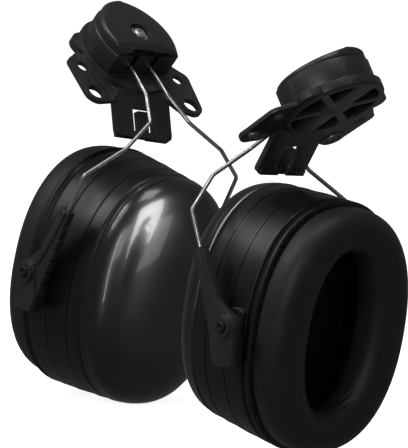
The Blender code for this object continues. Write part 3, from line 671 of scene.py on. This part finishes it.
def cushion_sections(inset, round_steps, side_steps):
    """Even sections down the cushion's side, over its lips and back through its opening."""
    outer_r, inner_r = 10.0 - inset, 9.0 - inset
    depth = CUSHION_FACE_X + inset
    back = CUSHION_BACK_X
    half_w, half_h = CUSHION_OPENING
    sections = []
    foot = back - 0.8
    sections.append(inset_oval(back, inset + 0.9))
    sections.append(inset_oval(back - 0.25, inset + 0.2))
    for i in range(side_steps):
        x = foot + (depth + outer_r - foot) * i / side_steps
        sections.append(inset_oval(x, inset - 0.1))
    for s, c in quarter(0, 90, round_steps):
        sections.append(inset_oval(depth + outer_r * (1 - s), inset - 0.1 + outer_r * c))
    for s, c in quarter(90, 0, round_steps):
        grow = inset + inner_r * c
        sections.append(oval(depth + inner_r * (1 - s), half_w + grow, half_h + grow, OPENING_POWER))
    for i in range(1, side_steps + 1):
        x = depth + inner_r + (foot - depth - inner_r) * i / side_steps
        sections.append(oval(x, half_w + inset, half_h + inset, OPENING_POWER))
    for x, grow in ((back - 0.25, inset + 0.3), (back, inset + 1.0)):
        sections.append(oval(x, half_w + grow, half_h + grow, OPENING_POWER))
    return sections


def crease(point):
    """Depth of the small folds of the vinyl at the lower corners of the opening, in millimetres."""
    x, y, z = point
    depth = 0.0
    for sign in (-1, 1):
        away = math.hypot(y - sign * 13.0, z + 33.0)
        fade = max(0.0, 1.0 - away / 10.0) * min(1.0, max(0.0, (x - CUSHION_FACE_X - 3.0) / 4.0))
        depth += 0.5 * fade * math.sin((x + 0.45 * (z + 33.0)) * 2.1)
    return depth


def inflate(piece, pinned, pressure, cap):
    """Blow a closed skin up by cloth simulation, with a cap on how far each point moves."""
    start = [vertex.co.copy() for vertex in piece.data.vertices]
    group = piece.vertex_groups.new(name="pinned")
    group.add([i for i, co in enumerate(start) if pinned(co)], 1.0, "REPLACE")
    cloth = piece.modifiers.new("stuffing", "CLOTH")
    settings = cloth.settings
    settings.quality = 6
    settings.mass = 0.3
    settings.tension_stiffness = 15.0
    settings.compression_stiffness = 15.0
    settings.shear_stiffness = 8.0
    settings.bending_stiffness = 0.6
    settings.use_pressure = True
    settings.uniform_pressure_force = pressure
    settings.effector_weights.gravity = 0.0
    settings.vertex_group_mass = "pinned"
    settings.pin_stiffness = 1.0
    cloth.collision_settings.use_collision = False
    cloth.point_cache.frame_start = 1
    cloth.point_cache.frame_end = CLOTH_FRAMES
    scene = bpy.context.scene
    for number in range(1, CLOTH_FRAMES + 1):
        scene.frame_set(number)
    evaluated(piece)
    scene.frame_set(1)
    for vertex, co in zip(piece.data.vertices, start):
        shift = vertex.co - co
        if shift.length > cap:
            vertex.co = co + shift.normalized() * cap


def stuffed_cushion():
    """Cushion in the cup's frame, in metres: a closed skin, swollen and creased."""
    bm = bmesh.new()
    loft(bm, cushion_sections(CUSHION_SLACK, 9, 3), ring=True)
    cushion = finish_piece(bm, "stuffed", Matrix.Scale(MM, 4), VINYL, 180.0)
    back = (CUSHION_BACK_X - 0.5) * MM
    inflate(cushion, lambda co: co.x > back, CUSHION_PRESSURE, CUSHION_GROWTH * MM)
    calm = cushion.modifiers.new("calm", "SMOOTH")
    calm.factor = 0.5
    calm.iterations = 5
    finer = cushion.modifiers.new("finer", "SUBSURF")
    finer.levels = 1
    finer.render_levels = 1
    evaluated(cushion)
    for vertex in cushion.data.vertices:
        vertex.co += vertex.normal * crease(vertex.co / MM) * MM
    return cushion


def make_cushions():
    """One simulated cushion, set into both cups."""
    source = stuffed_cushion()
    for side in SIDES:
        mesh = source.data.copy()
        mesh.transform(FRAMES[side]["cup"] @ Matrix.Scale(1 / MM, 4))
        piece = bpy.data.objects.new(side + "_cushion", mesh)
        bpy.context.scene.collection.objects.link(piece)
        mesh.shade_smooth()
        place(piece, side, "cup", "black_vinyl", "cushion_cover")
    bpy.data.objects.remove(source, do_unlink=True)


def build_cushion_foam(side):
    """Foam ring inside the cushion's skin."""
    bm = bmesh.new()
    loft(bm, cushion_sections(3.2, 5, 2), ring=True)
    piece = finish_piece(bm, side + "_foam_ring", FRAMES[side]["cup"], CUSHION_FOAM, 180.0)
    place(piece, side, "cup", "cushion_foam", "cushion_foam")


def build_liner(side):
    """Cut foam block with softened corners and an uneven, slightly dished face."""
    low, high = LINER_X
    profile = [(low + 1.6, 18.0), (low + 0.5, 17.2), (low, 16.2), (low + 0.1, 15.4), (low + 0.7, 14.7),
               (low + 2.0, 14.2), (12.0, 11.6), (20.0, 9.2), (25.0, 9.6), (29.0, 11.4), (high, 12.6)]
    sections = [inset_oval(x, inset) for x, inset in profile]
    face = [oval(low + 1.6 + 0.6 * (1 - t), 21.4 * t, 35.0 * t, OPENING_POWER) for t in (0.25, 0.5, 0.75)]
    bm = bmesh.new()
    loft(bm, face + sections)
    piece = finish_piece(bm, side + "_foam_block", Matrix.Identity(4), FOAM, 180.0)
    for vertex in piece.data.vertices:
        wave = math.sin(vertex.co.y * 0.21 + 1.3) * math.sin(vertex.co.z * 0.17)
        vertex.co.x += 0.35 * wave * (vertex.co.x < 12.0)
    piece.data.transform(FRAMES[side]["cup"])
    place(piece, side, "cup", "liner_foam", "acoustic_liner")


def build_dome(side):
    """Polished dome with one smooth crown and a thin inner wall."""
    bm = bmesh.new()
    half_w, half_h = HALF_W - SEAM_INSET - 0.4, HALF_H - SEAM_INSET - 0.4
    rim = DOME_RIM_X + 1.6
    sections = [inset_oval(DOME_RIM_X, SEAM_INSET + 0.25), inset_oval(DOME_RIM_X + 0.3, SEAM_INSET),
                inset_oval(DOME_RIM_X + 0.9, SEAM_INSET + 0.05)]
    count = 26
    for i in range(count):
        angle = math.pi / 2 * i / count
        t = math.cos(angle) ** 0.62
        x = rim + (DOME_TIP_X - rim) * math.sin(angle)
        tall = half_w * t + (half_h - half_w) * (1 - (1 - t) ** 2)
        sections.append(oval(x, half_w * t, tall, POWER - 0.25 * (1 - t)))
    inner = [inset_oval(DOME_RIM_X, SEAM_INSET + 2.6), inset_oval(DOME_RIM_X + 8.0, SEAM_INSET + 3.4),
             oval(DOME_TIP_X - 6.0, half_w * 0.6, half_h * 0.62)]
    loops = loft(bm, inner[::-1] + sections, open_ends=True)
    bm.faces.new(loops[0])
    tip = bm.verts.new((DOME_TIP_X, 0.0, CENTRE_Z))
    last = loops[-1]
    for i in range(len(last)):
        bm.faces.new((last[i], last[(i + 1) % len(last)], tip))
    piece = finish_piece(bm, side + "_dome", FRAMES[side]["cup"], GLOSS, 50.0)
    place(piece, side, "cup", "gloss_black_plastic", "cup_dome")


# Adapter plate --------------------------------------------------------------

def wing_outline(side):
    """One wing, from the disc out to its corner and back to the tongue."""
    points = [(12.0, 6.0), (20.5, 4.0), (29.0, -3.2)]
    points += arc((28.0, -7.6), 4.2, 60, 0, 3)
    points += arc((25.2, -24.6), 6.0, 0, -95, 5)
    points += [(18.0, -29.0), (12.0, -22.0)]
    return [(side * y, z) for y, z in points]


def tongue_point(along, lift):
    """Point of the tongue's side view: along from its top, lift off its helmet face."""
    top, foot = Vector(TONGUE_TOP), Vector(TONGUE_FOOT)
    down = (foot - top).normalized()
    out = Vector((-down.y, down.x))
    return top + down * along + out * lift


def tongue_length():
    """Length of the tongue down its helmet face."""
    return (Vector(TONGUE_FOOT) - Vector(TONGUE_TOP)).length


def tongue_block(bm, along, lift, half_w, offset=0.0):
    """Block on the tongue between two lengths along it and two heights off its face."""
    corners = [(along[0], lift[0]), (along[1], lift[0]), (along[1], lift[1]), (along[0], lift[1])]
    outline = [tuple(tongue_point(a, h)) for a, h in corners]
    prism(bm, outline, offset - half_w, offset + half_w, axis="y")


def build_disc(bm):
    """Round base of the plate."""
    edge = 0.8
    rod(bm, [(SPOKE_FACE_X, RIM_R - edge), (SPOKE_FACE_X + edge, RIM_R), (BASE_TOP_X, RIM_R)], 96)


def build_wings(bm):
    """Two wings beside the tongue."""
    for side in (-1, 1):
        prism(bm, wing_outline(side), *WING_X)


def build_lobes(bm):
    """Rounded lobes at the sides of the disc and rims round the lower wing holes."""
    for side in (-1, 1):
        rod(bm, [(SPOKE_FACE_X + 0.7, LOBE_R), (BASE_TOP_X - 0.4, LOBE_R)], 40,
            (side * LOBE_AT[0], LOBE_AT[1]))
        rim_r = WING_HOLE_R[1] + 1.8
        rod(bm, [(WING_X[0] - 0.3, rim_r), (WING_X[1] + 0.3, rim_r)], 40,
            (side * WING_HOLE_Y, WING_HOLE_Z[1]))


def build_tongue(bm):
    """Tongue with rounded foot corners, joined to the disc by a stepped root."""
    length = tongue_length()
    outline = [(-TONGUE_HALF_W, 3.0), (TONGUE_HALF_W, 3.0)]
    outline += arc((TONGUE_HALF_W - 2.5, 2.5 - length), 2.5, 0, -90, 3)
    outline += arc((2.5 - TONGUE_HALF_W, 2.5 - length), 2.5, -90, -180, 3)
    sections = []
    for lift in (0.0, TONGUE_T):
        sections.append([(*tongue_point(-z, lift), y) for y, z in outline])
    loft(bm, [[(x, y, z) for x, z, y in section] for section in sections])


def build_lip(bm):
    """Thick lip across the foot of the tongue, open at its centre."""
    length = tongue_length()
    for side in (-1, 1):
        tongue_block(bm, (length - 2.6, length - 0.1), (-1.2, 1.0), 5.6, side * 8.2)


def build_pockets(bm):
    """Six pockets between the three spokes, cut from the helmet side."""
    spokes = ((90.0, WIDE_SPOKE / 2), (30.0, THIN_SPOKE / 2), (150.0, THIN_SPOKE / 2))
    edges = []
    for angle, half in spokes:
        edges += [(angle, half), (angle + 180.0, half)]
    edges.sort()
    for (a0, h0), (a1, h1) in zip(edges, edges[1:] + [(edges[0][0] + 360.0, edges[0][1])]):
        outline = []
        inner, outer = HUB_R, RIM_INNER_R
        low_in = a0 + math.degrees(math.asin(h0 / inner))
        high_in = a1 - math.degrees(math.asin(h1 / inner))
        low_out = a0 + math.degrees(math.asin(h0 / outer))
        high_out = a1 - math.degrees(math.asin(h1 / outer))
        outline += arc((0.0, 0.0), outer, low_out, high_out, 16)
        outline += arc((0.0, 0.0), inner, high_in, low_in, 4)
        prism(bm, outline, SPOKE_FACE_X - 2.0, POCKET_FLOOR_X)


def build_plate_holes(bm):
    """Wing holes and the insert's seat in the hub."""
    for side in (-1, 1):
        for z, radius in zip(WING_HOLE_Z, WING_HOLE_R):
            rod(bm, [(-6.0, radius), (6.0, radius)], 40, (side * WING_HOLE_Y, z))
    rod(bm, [(-0.6, INSERT_R + GAP), (BASE_TOP_X + 1.0, INSERT_R + GAP)], 20)


def build_latch_slot(bm):
    """Opening in the tongue that leaves room round the latch."""
    length = tongue_length()
    top = length - 3.2 - LATCH_H - SLIT
    tongue_block(bm, (top, length - 2.9), (-3.0, TONGUE_T + 2.0), LATCH_W / 2 + SLIT)


def build_latch(bm):
    """Springy tab, rooted at the foot of the tongue, with a hook at its tip."""
    length = tongue_length()
    foot = length - 3.2
    side_view = [(foot, 0.5), (foot, 1.8), (foot - LATCH_H + 2.4, 1.8), (foot - LATCH_H, 3.6),
                 (foot - LATCH_H, 0.5)]
    outline = [tuple(tongue_point(a, h)) for a, h in side_view]
    prism(bm, outline, -LATCH_W / 2, LATCH_W / 2, axis="y")


def make_adapter(side):
    """Adapter plate and its latch."""
    steps = ((build_wings, "UNION"), (build_lobes, "UNION"), (build_tongue, "UNION"),
             (build_lip, "UNION"), (build_pockets, "DIFFERENCE"), (build_plate_holes, "DIFFERENCE"),
             (build_latch_slot, "DIFFERENCE"))
    plate = solid(side + "_plate", FRAMES[side]["plate"], MATTE, build_disc, steps, 0.3)
    place(plate, side, "adapter", "matte_black_plastic", "adapter_plate")
    latch = solid(side + "_latch_tab", FRAMES[side]["plate"], MATTE, build_latch, (), 0.2)
    place(latch, side, "latch", "matte_black_plastic", "tongue_latch")


# Swivel housing -------------------------------------------------------------

def chord_outline(radius, chord_z, steps):
    """Circle cut off by a straight chord low down."""
    start = math.degrees(math.asin(chord_z / radius))
    return arc((0.0, 0.0), radius, start, 180.0 - start, steps)


def build_housing(bm):
    """Tray with a flat lower wall, open towards the cap."""
    floor = BASE_TOP_X + GAP
    outer = chord_outline(HOUSING_R, CHORD_Z, 72)
    outer_top = chord_outline(HOUSING_R - 0.5, CHORD_Z, 72)
    inner = chord_outline(HOUSING_R - HOUSING_WALL, CHORD_Z + CHORD_WALL, 72)
    stations = ((floor, outer), (HOUSING_TOP_X - 0.6, outer), (HOUSING_TOP_X, outer_top),
                (HOUSING_TOP_X, inner), (floor + HOUSING_FLOOR_T, inner))
    loft(bm, [[(x, y, z) for y, z in outline] for x, outline in stations])


def build_lugs(bm):
    """Two lugs that carry the spindle."""
    floor = BASE_TOP_X + GAP + HOUSING_FLOOR_T - 0.5
    for side in (-1, 1):
        low, high = sorted((side * 12.2, side * 14.6))
        box(bm, (floor, low, SPINDLE[1] - 2.6), (SPINDLE[0] + 2.2, high, SPINDLE[1] + 2.6))


def build_stop(bm):
    """Raised band round one side of the housing, which ends in a step at the top."""
    floor = BASE_TOP_X + GAP
    outline = arc((0.0, 0.0), HOUSING_R + 0.9, -28, 86, 48)
    outline += arc((0.0, 0.0), HOUSING_R - 1.0, 92, -28, 48)
    prism(bm, outline, floor, HOUSING_TOP_X - 0.7)


def build_housing_cuts(bm):
    """Slots for the wire legs, the spindle's bore and the screw's hole."""
    low = WIRE_LINE_X - WIRE_R - 0.35
    for side in (-1, 1):
        y0, y1 = sorted((side * (LEG_Y - 1.6), side * (LEG_Y + 1.9)))
        box(bm, (low, y0, CHORD_Z - 3.0), (HOUSING_TOP_X + 1.0, y1, CHORD_Z + CHORD_WALL + 1.0))
    rod(bm, [(-16.0, SPINDLE_R + GAP), (16.0, SPINDLE_R + GAP)], 40, SPINDLE, axis="y")
    rod(bm, [(0.0, SCREW_R + 0.4), (7.0, SCREW_R + 0.4)], 40)


def cap_height(y, z):
    """Height of the cap's face, which falls away towards one side and rounds off at its rim."""
    radius = math.hypot(y, z)
    along = max(0.0, radius - RECESS_R) / (CAP_R - RECESS_R)
    lean = max(0.0, y / radius) ** 0.7
    edge = max(0.0, radius - CAP_R + 1.0)
    return CAP_FACE_X - CAP_DROP * lean * along ** 2 - 0.9 * edge ** 2


def cap_outline(radius):
    """Outline of the cap at a radius, with its flat lower side kept clear of the centre."""
    return chord_outline(radius, max(CHORD_Z, -0.85 * radius), 72)


def build_cap(bm):
    """Lid with a shaped face, hollow underneath."""
    low = HOUSING_TOP_X + GAP
    sections = []
    for radius in (7.5, 11.0, 14.0):
        sections.append([(cap_height(y, z) - CAP_SKIN, y, z) for y, z in cap_outline(radius)])
    for x, radius in ((low + 0.1, CAP_R - 2.4), (low, CAP_R - 2.2), (low, CAP_R)):
        sections.append([(x, y, z) for y, z in cap_outline(radius)])
    for step in (0.0, 0.4, 1.0, 3.0, 6.0, 9.0, 12.0):
        sections.append([(cap_height(y, z), y, z) for y, z in cap_outline(CAP_R - step)])
    loft(bm, sections)


def build_cap_post(bm):
    """Boss under the cap's face that carries the screw recess."""
    rod(bm, [(RECESS_X - 1.2, RECESS_R + 1.2), (CAP_FACE_X - 0.5, RECESS_R + 1.2)], 20)


def build_cap_cuts(bm):
    """Screw recess, screw hole and the slanted lower face."""
    rod(bm, [(RECESS_X, RECESS_R), (CAP_FACE_X + 2.0, RECESS_R)], 24)
    rod(bm, [(5.0, SCREW_R + 0.4), (CAP_FACE_X, SCREW_R + 0.4)], 40)
    reach = CAP_CHAMFER + 4.0
    slope = [(CAP_FACE_X + 3.0, CHORD_Z - 3.0), (CAP_FACE_X + 3.0, CHORD_Z + reach),
             (HOUSING_TOP_X + 1.0, CHORD_Z - 3.0)]
    prism(bm, slope, -30.0, 30.0, axis="y")


def make_swivel(side):
    """Housing and cap."""
    steps = ((build_lugs, "UNION"), (build_stop, "UNION"), (build_housing_cuts, "DIFFERENCE"))
    housing = solid(side + "_housing", FRAMES[side]["swivel"], MATTE, build_housing, steps, 0.35)
    place(housing, side, "swivel", "matte_black_plastic", "swivel_housing")
    steps = ((build_cap_post, "UNION"), (build_cap_cuts, "DIFFERENCE"))
    cap = solid(side + "_cap", FRAMES[side]["swivel"], MATTE, build_cap, steps, 0.5)
    place(cap, side, "swivel", "matte_black_plastic", "swivel_cap")


# Screw stack ----------------------------------------------------------------

def build_screw(bm):
    """Pan-head screw with a domed head."""
    head = RECESS_X + WASHER_T + 2 * GAP
    stations = [(0.0, SCREW_R), (head, SCREW_R), (head, HEAD_R), (head + 0.45, HEAD_R)]
    stations += [(head + 0.45 + (HEAD_T - 0.5) * s, HEAD_R * (1 - 0.75 * c)) for s, c in quarter(10, 90, 8)]
    rod(bm, stations, 64)


def build_cross(bm):
    """Tapered cross recess in the screw's head."""
    head = RECESS_X + WASHER_T + 2 * GAP
    for arm, half in ((1.75, 0.34), (0.34, 1.75)):
        box(bm, (head + 0.45, -arm, -half), (head + HEAD_T + 1.0, arm, half))


def build_washer(bm):
    """Flat washer under the screw's head."""
    low = RECESS_X + GAP
    hole = SCREW_R + GAP
    turned(bm, [(low, hole), (low, WASHER_R), (low + WASHER_T, WASHER_R), (low + WASHER_T, hole)], 64)


def make_screw_stack(side):
    """Screw and washer in the cap's recess."""
    steps = ((build_cross, "DIFFERENCE"),)
    screw = solid(side + "_screw", FRAMES[side]["plate"], SCREW_STEEL, build_screw, steps, 0.08)
    place(screw, side, "adapter", "bright_steel", "pivot_screw")
    washer = solid(side + "_washer", FRAMES[side]["plate"], SCREW_STEEL, build_washer, (), 0.12)
    place(washer, side, "adapter", "bright_steel", "screw_washer")


# Wire yoke ------------------------------------------------------------------

def sweep(bm, path, radius, sides):
    """Round tube along a path, with mitred corners and closed ends."""
    points = [Vector(p) for p in path]
    frame_y = None
    sections = []
    for i, point in enumerate(points):
        before = (point - points[i - 1]).normalized() if i else (points[1] - point).normalized()
        after = (points[i + 1] - point).normalized() if i + 1 < len(points) else before
        tangent = (before + after).normalized()
        if frame_y is None:
            frame_y = tangent.orthogonal().normalized()
        frame_y = (frame_y - tangent * frame_y.dot(tangent)).normalized()
        frame_z = tangent.cross(frame_y)
        ring = []
        for k in range(sides):
            angle = 2 * math.pi * k / sides
            ring.append(point + (frame_y * math.cos(angle) + frame_z * math.sin(angle)) * radius)
        sections.append(ring)
    loft(bm, sections)


def rounded(corners, radius, steps):
    """Path through corners, each replaced by a short arc-like blend."""
    points = [Vector(corners[0])]
    for before, corner, after in zip(corners, corners[1:], corners[2:]):
        corner = Vector(corner)
        back = (Vector(before) - corner).normalized()
        ahead = (Vector(after) - corner).normalized()
        half = math.acos(max(-1.0, min(1.0, back.dot(ahead)))) / 2
        reach = min(radius / math.tan(half), (Vector(before) - corner).length * 0.45)
        for i in range(steps + 1):
            t = i / steps
            start, end = corner + back * reach, corner + ahead * reach
            points.append(start * (1 - t) ** 2 + corner * 2 * t * (1 - t) + end * t ** 2)
    points.append(Vector(corners[-1]))
    return points


def leg_corners(side):
    """Corners of one leg, from the crossbar down to the wire's end in its sleeve."""
    corners = [(WIRE_LINE_X, side * LEG_Y, SPINDLE[1]), (WIRE_LINE_X, side * LEG_Y, -9.6)]
    corners += [(x, side * y, z) for x, y, z in ROUTE]
    end = Vector(SLEEVE_TOP) + wire_down() * WIRE_IN_SLEEVE
    corners.append((end.x, side * end.y, end.z))
    return corners


def build_wire(bm):
    """One steel wire: leg, crossbar inside the housing, leg."""
    first = leg_corners(-1)
    second = leg_corners(1)
    corners = first[::-1] + second
    sweep(bm, rounded(corners, BEND_R, 8), WIRE_R, 20)


def make_wire(side):
    """Round bright wire."""
    wire = solid(side + "_wire", FRAMES[side]["swivel"], STEEL, build_wire, (), 0.0)
    place(wire, side, "arm", "bright_steel", "wire_yoke")


# Sleeves --------------------------------------------------------------------

def sleeve_outline():
    """Side view of a sleeve, seen along y: a blade that widens to the pivot boss."""
    points = [(-3.0, 2.5), (2.7, 2.5)]
    for i in range(NOTCH_COUNT):
        s = 4.0 + NOTCH_PITCH * i
        edge = 2.7 + 2.3 * s / 46.5
        points += [(edge, -s), (edge - 1.1, -s - 0.8), (edge, -s - 1.6)]
    points += [(5.0, -46.5), (-5.0, -49.5)]
    points += arc((PIVOT_N, -PIVOT_S), BOSS_R, 205, 140, 5)
    points += [(-4.2, -20.0)]
    return points


def build_blade(side):
    """Blade of one sleeve."""
    def build(bm):
        low, high = sorted((side * SLEEVE_IN_Y, side * SLEEVE_OUT_Y))
        prism(bm, sleeve_outline(), low, high, axis="y")
    return build


def build_knuckle(side):
    """Thick pivot end of one sleeve and the raised ring round its stud."""
    def build(bm):
        outline = [(4.6, -38.0), (4.8, -46.2), (-5.0, -49.2)]
        outline += arc((PIVOT_N, -PIVOT_S), BOSS_R - 0.2, 205, 10, 12)
        low, high = sorted((side * KNUCKLE_IN_Y, side * (SLEEVE_OUT_Y + 1.0)))
        prism(bm, outline, low, high, axis="y")
        inner, outer = sorted((side * (SLEEVE_OUT_Y + 0.5), side * BOSS_OUT_Y))
        rod(bm, [(inner, BOSS_R - 0.8), (outer, BOSS_R - 0.8)], 20, (PIVOT_N, -PIVOT_S), axis="y")
    return build


def build_rib(side):
    """Raised rib from the sleeve's mouth down to the ring round its stud."""
    def build(bm):
        outline = [(-1.5, 1.6), (1.1, 1.6), (0.6, -12.0), (-1.6, -26.4), (-4.9, -28.2), (-2.6, -14.0)]
        low, high = sorted((side * (SLEEVE_OUT_Y - 0.4), side * (SLEEVE_OUT_Y + 0.7)))
        prism(bm, outline, low, high, axis="y")
    return build


def build_sleeve_cuts(side):
    """Wire groove, open towards the cup, and the stud's bore."""
    def build(bm):
        edge = WIRE_R + GAP
        low, high = sorted((side * (KNUCKLE_IN_Y - 1.0), side * (SLEEVE_TOP[1] + edge)))
        box(bm, (-edge, low, -GROOVE_END), (edge, high, 4.0))
        ends = sorted((side * 38.0, side * 50.0))
        rod(bm, [(ends[0], STUD_R + 0.1), (ends[1], STUD_R + 0.1)], 40, (PIVOT_N, -PIVOT_S), axis="y")
    return build


def make_sleeves(side):
    """Front and rear sleeves."""
    for sign, name in ((-1, "front"), (1, "rear")):
        steps = ((build_knuckle(sign), "UNION"), (build_rib(sign), "UNION"),
                 (build_sleeve_cuts(sign), "DIFFERENCE"))
        blade = side + "_" + name + "_blade"
        sleeve = solid(blade, FRAMES[side]["slide"], MATTE, build_blade(sign), steps, 0.3)
        place(sleeve, side, "sleeves", "matte_black_plastic", name + "_sleeve")


make_cushions()
for side in SIDES:
    build_shell(side)
    make_drum_fittings(side)
    build_seal(side)
    build_dome(side)
    build_cushion_plate(side)
    build_cushion_foam(side)
    build_liner(side)
    make_adapter(side)
    make_swivel(side)
    make_screw_stack(side)
    make_wire(side)
    make_sleeves(side)


# Camera, light and floor ----------------------------------------------------

VIEW = {"azimuth": 45.2, "elevation": 6.0, "roll": 3.5}
VIEW_DISTANCE = 3.77
VIEW_SHIFT = (0.0352, -0.0709)
LENS = 771.8

def view_axes(azimuth, elevation, roll):
    """Right, up and back directions of a camera."""
    a, e, r = (math.radians(value) for value in (azimuth, elevation, roll))
    back = Vector((math.sin(a) * math.cos(e), -math.cos(a) * math.cos(e), math.sin(e)))
    level = Vector((math.cos(a), math.sin(a), 0.0))
    rise = back.cross(level)
    right = level * math.cos(r) + rise * math.sin(r)
    up = rise * math.cos(r) - level * math.sin(r)
    return right, up, back


def add_camera():
    """Long lens aimed beside and below the first unit's plate."""
    right, up, back = view_axes(**VIEW)
    plate = Vector(joint("left_swivel_turn")["pos_m"])
    centre = plate + right * VIEW_SHIFT[0] + up * VIEW_SHIFT[1]
    data = bpy.data.cameras.new("camera")
    data.sensor_fit = "HORIZONTAL"
    data.sensor_width = 36.0
    data.lens = LENS
    data.clip_end = 50.0
    camera = bpy.data.objects.new("camera", data)
    bpy.context.scene.collection.objects.link(camera)
    turn = Matrix((right, up, back)).transposed().to_4x4()
    camera.matrix_world = Matrix.Translation(centre + back * VIEW_DISTANCE) @ turn
    bpy.context.scene.camera = camera


def add_area(name, place, target, size, power, receivers=None):
    """Rectangular soft light that faces a point, and may only see some pieces."""
    data = bpy.data.lights.new(name, "AREA")
    data.shape = "RECTANGLE"
    data.size, data.size_y = size
    data.energy = power
    light = bpy.data.objects.new(name, data)
    bpy.context.scene.collection.objects.link(light)
    look = (Vector(target) - Vector(place)).to_track_quat("-Z", "Y").to_matrix().to_4x4()
    light.matrix_world = Matrix.Translation(place) @ look
    if receivers is not None:
        light.light_linking.receiver_collection = receivers
        light.light_linking.blocker_collection = receivers
        light.visible_diffuse = False


def add_light():
    """Soft boxes, three of which only light the domes, and a dim white surround."""
    middle = (0.09, -0.04, -0.05)
    domes = bpy.data.collections.new("domes")
    for side in SIDES:
        domes.objects.link(bpy.data.objects[side + "_dome"])
    add_area("dome_box_high", (1.80, -0.56, 0.84), middle, (1.60, 2.20), 185.0, domes)
    add_area("dome_box_low", (1.95, 0.05, -0.05), middle, (1.40, 1.00), 14.0, domes)
    add_area("strip_box", (0.55, -1.90, 0.10), middle, (0.14, 1.5), 7.0, domes)
    add_area("rim_box", (-0.9, -1.2, 1.3), middle, (0.6, 0.9), 12.0)
    add_area("front_box", (0.9, -1.7, 0.5), middle, (0.7, 0.9), 7.0)
    add_area("top_box", (0.2, -0.2, 1.9), middle, (0.9, 0.9), 13.0)
    world = bpy.data.worlds.new("studio")
    bpy.context.scene.world = world
    world.use_nodes = True
    background = world.node_tree.nodes["Background"]
    background.inputs["Color"].default_value = (1.0, 1.0, 1.0, 1.0)
    background.inputs["Strength"].default_value = 0.12


def add_floor():
    """Plain white floor just below the cups."""
    bm = bmesh.new()
    half = 12.0
    level = cad_box[0][2] - 0.0005
    plan = ((-half, -half), (half, -half), (half, half), (-half, half))
    bm.faces.new([bm.verts.new((x, y, level)) for x, y in plan])
    material, nodes, links = new_material("floor_white")
    set_values(nodes["Principled BSDF"], Base_Color=(0.93, 0.93, 0.93, 1.0), Roughness=0.9,
               Specular_IOR_Level=0.2, Emission_Color=(1.0, 1.0, 1.0, 1.0), Emission_Strength=0.9)
    floor = finish_piece(bm, "floor", Matrix.Identity(4), material)
    floor.visible_glossy = False
    floor.visible_diffuse = False
    floor.visible_shadow = False


add_camera()
add_light()
add_floor()
bpy.context.scene.view_settings.view_transform = "Standard"
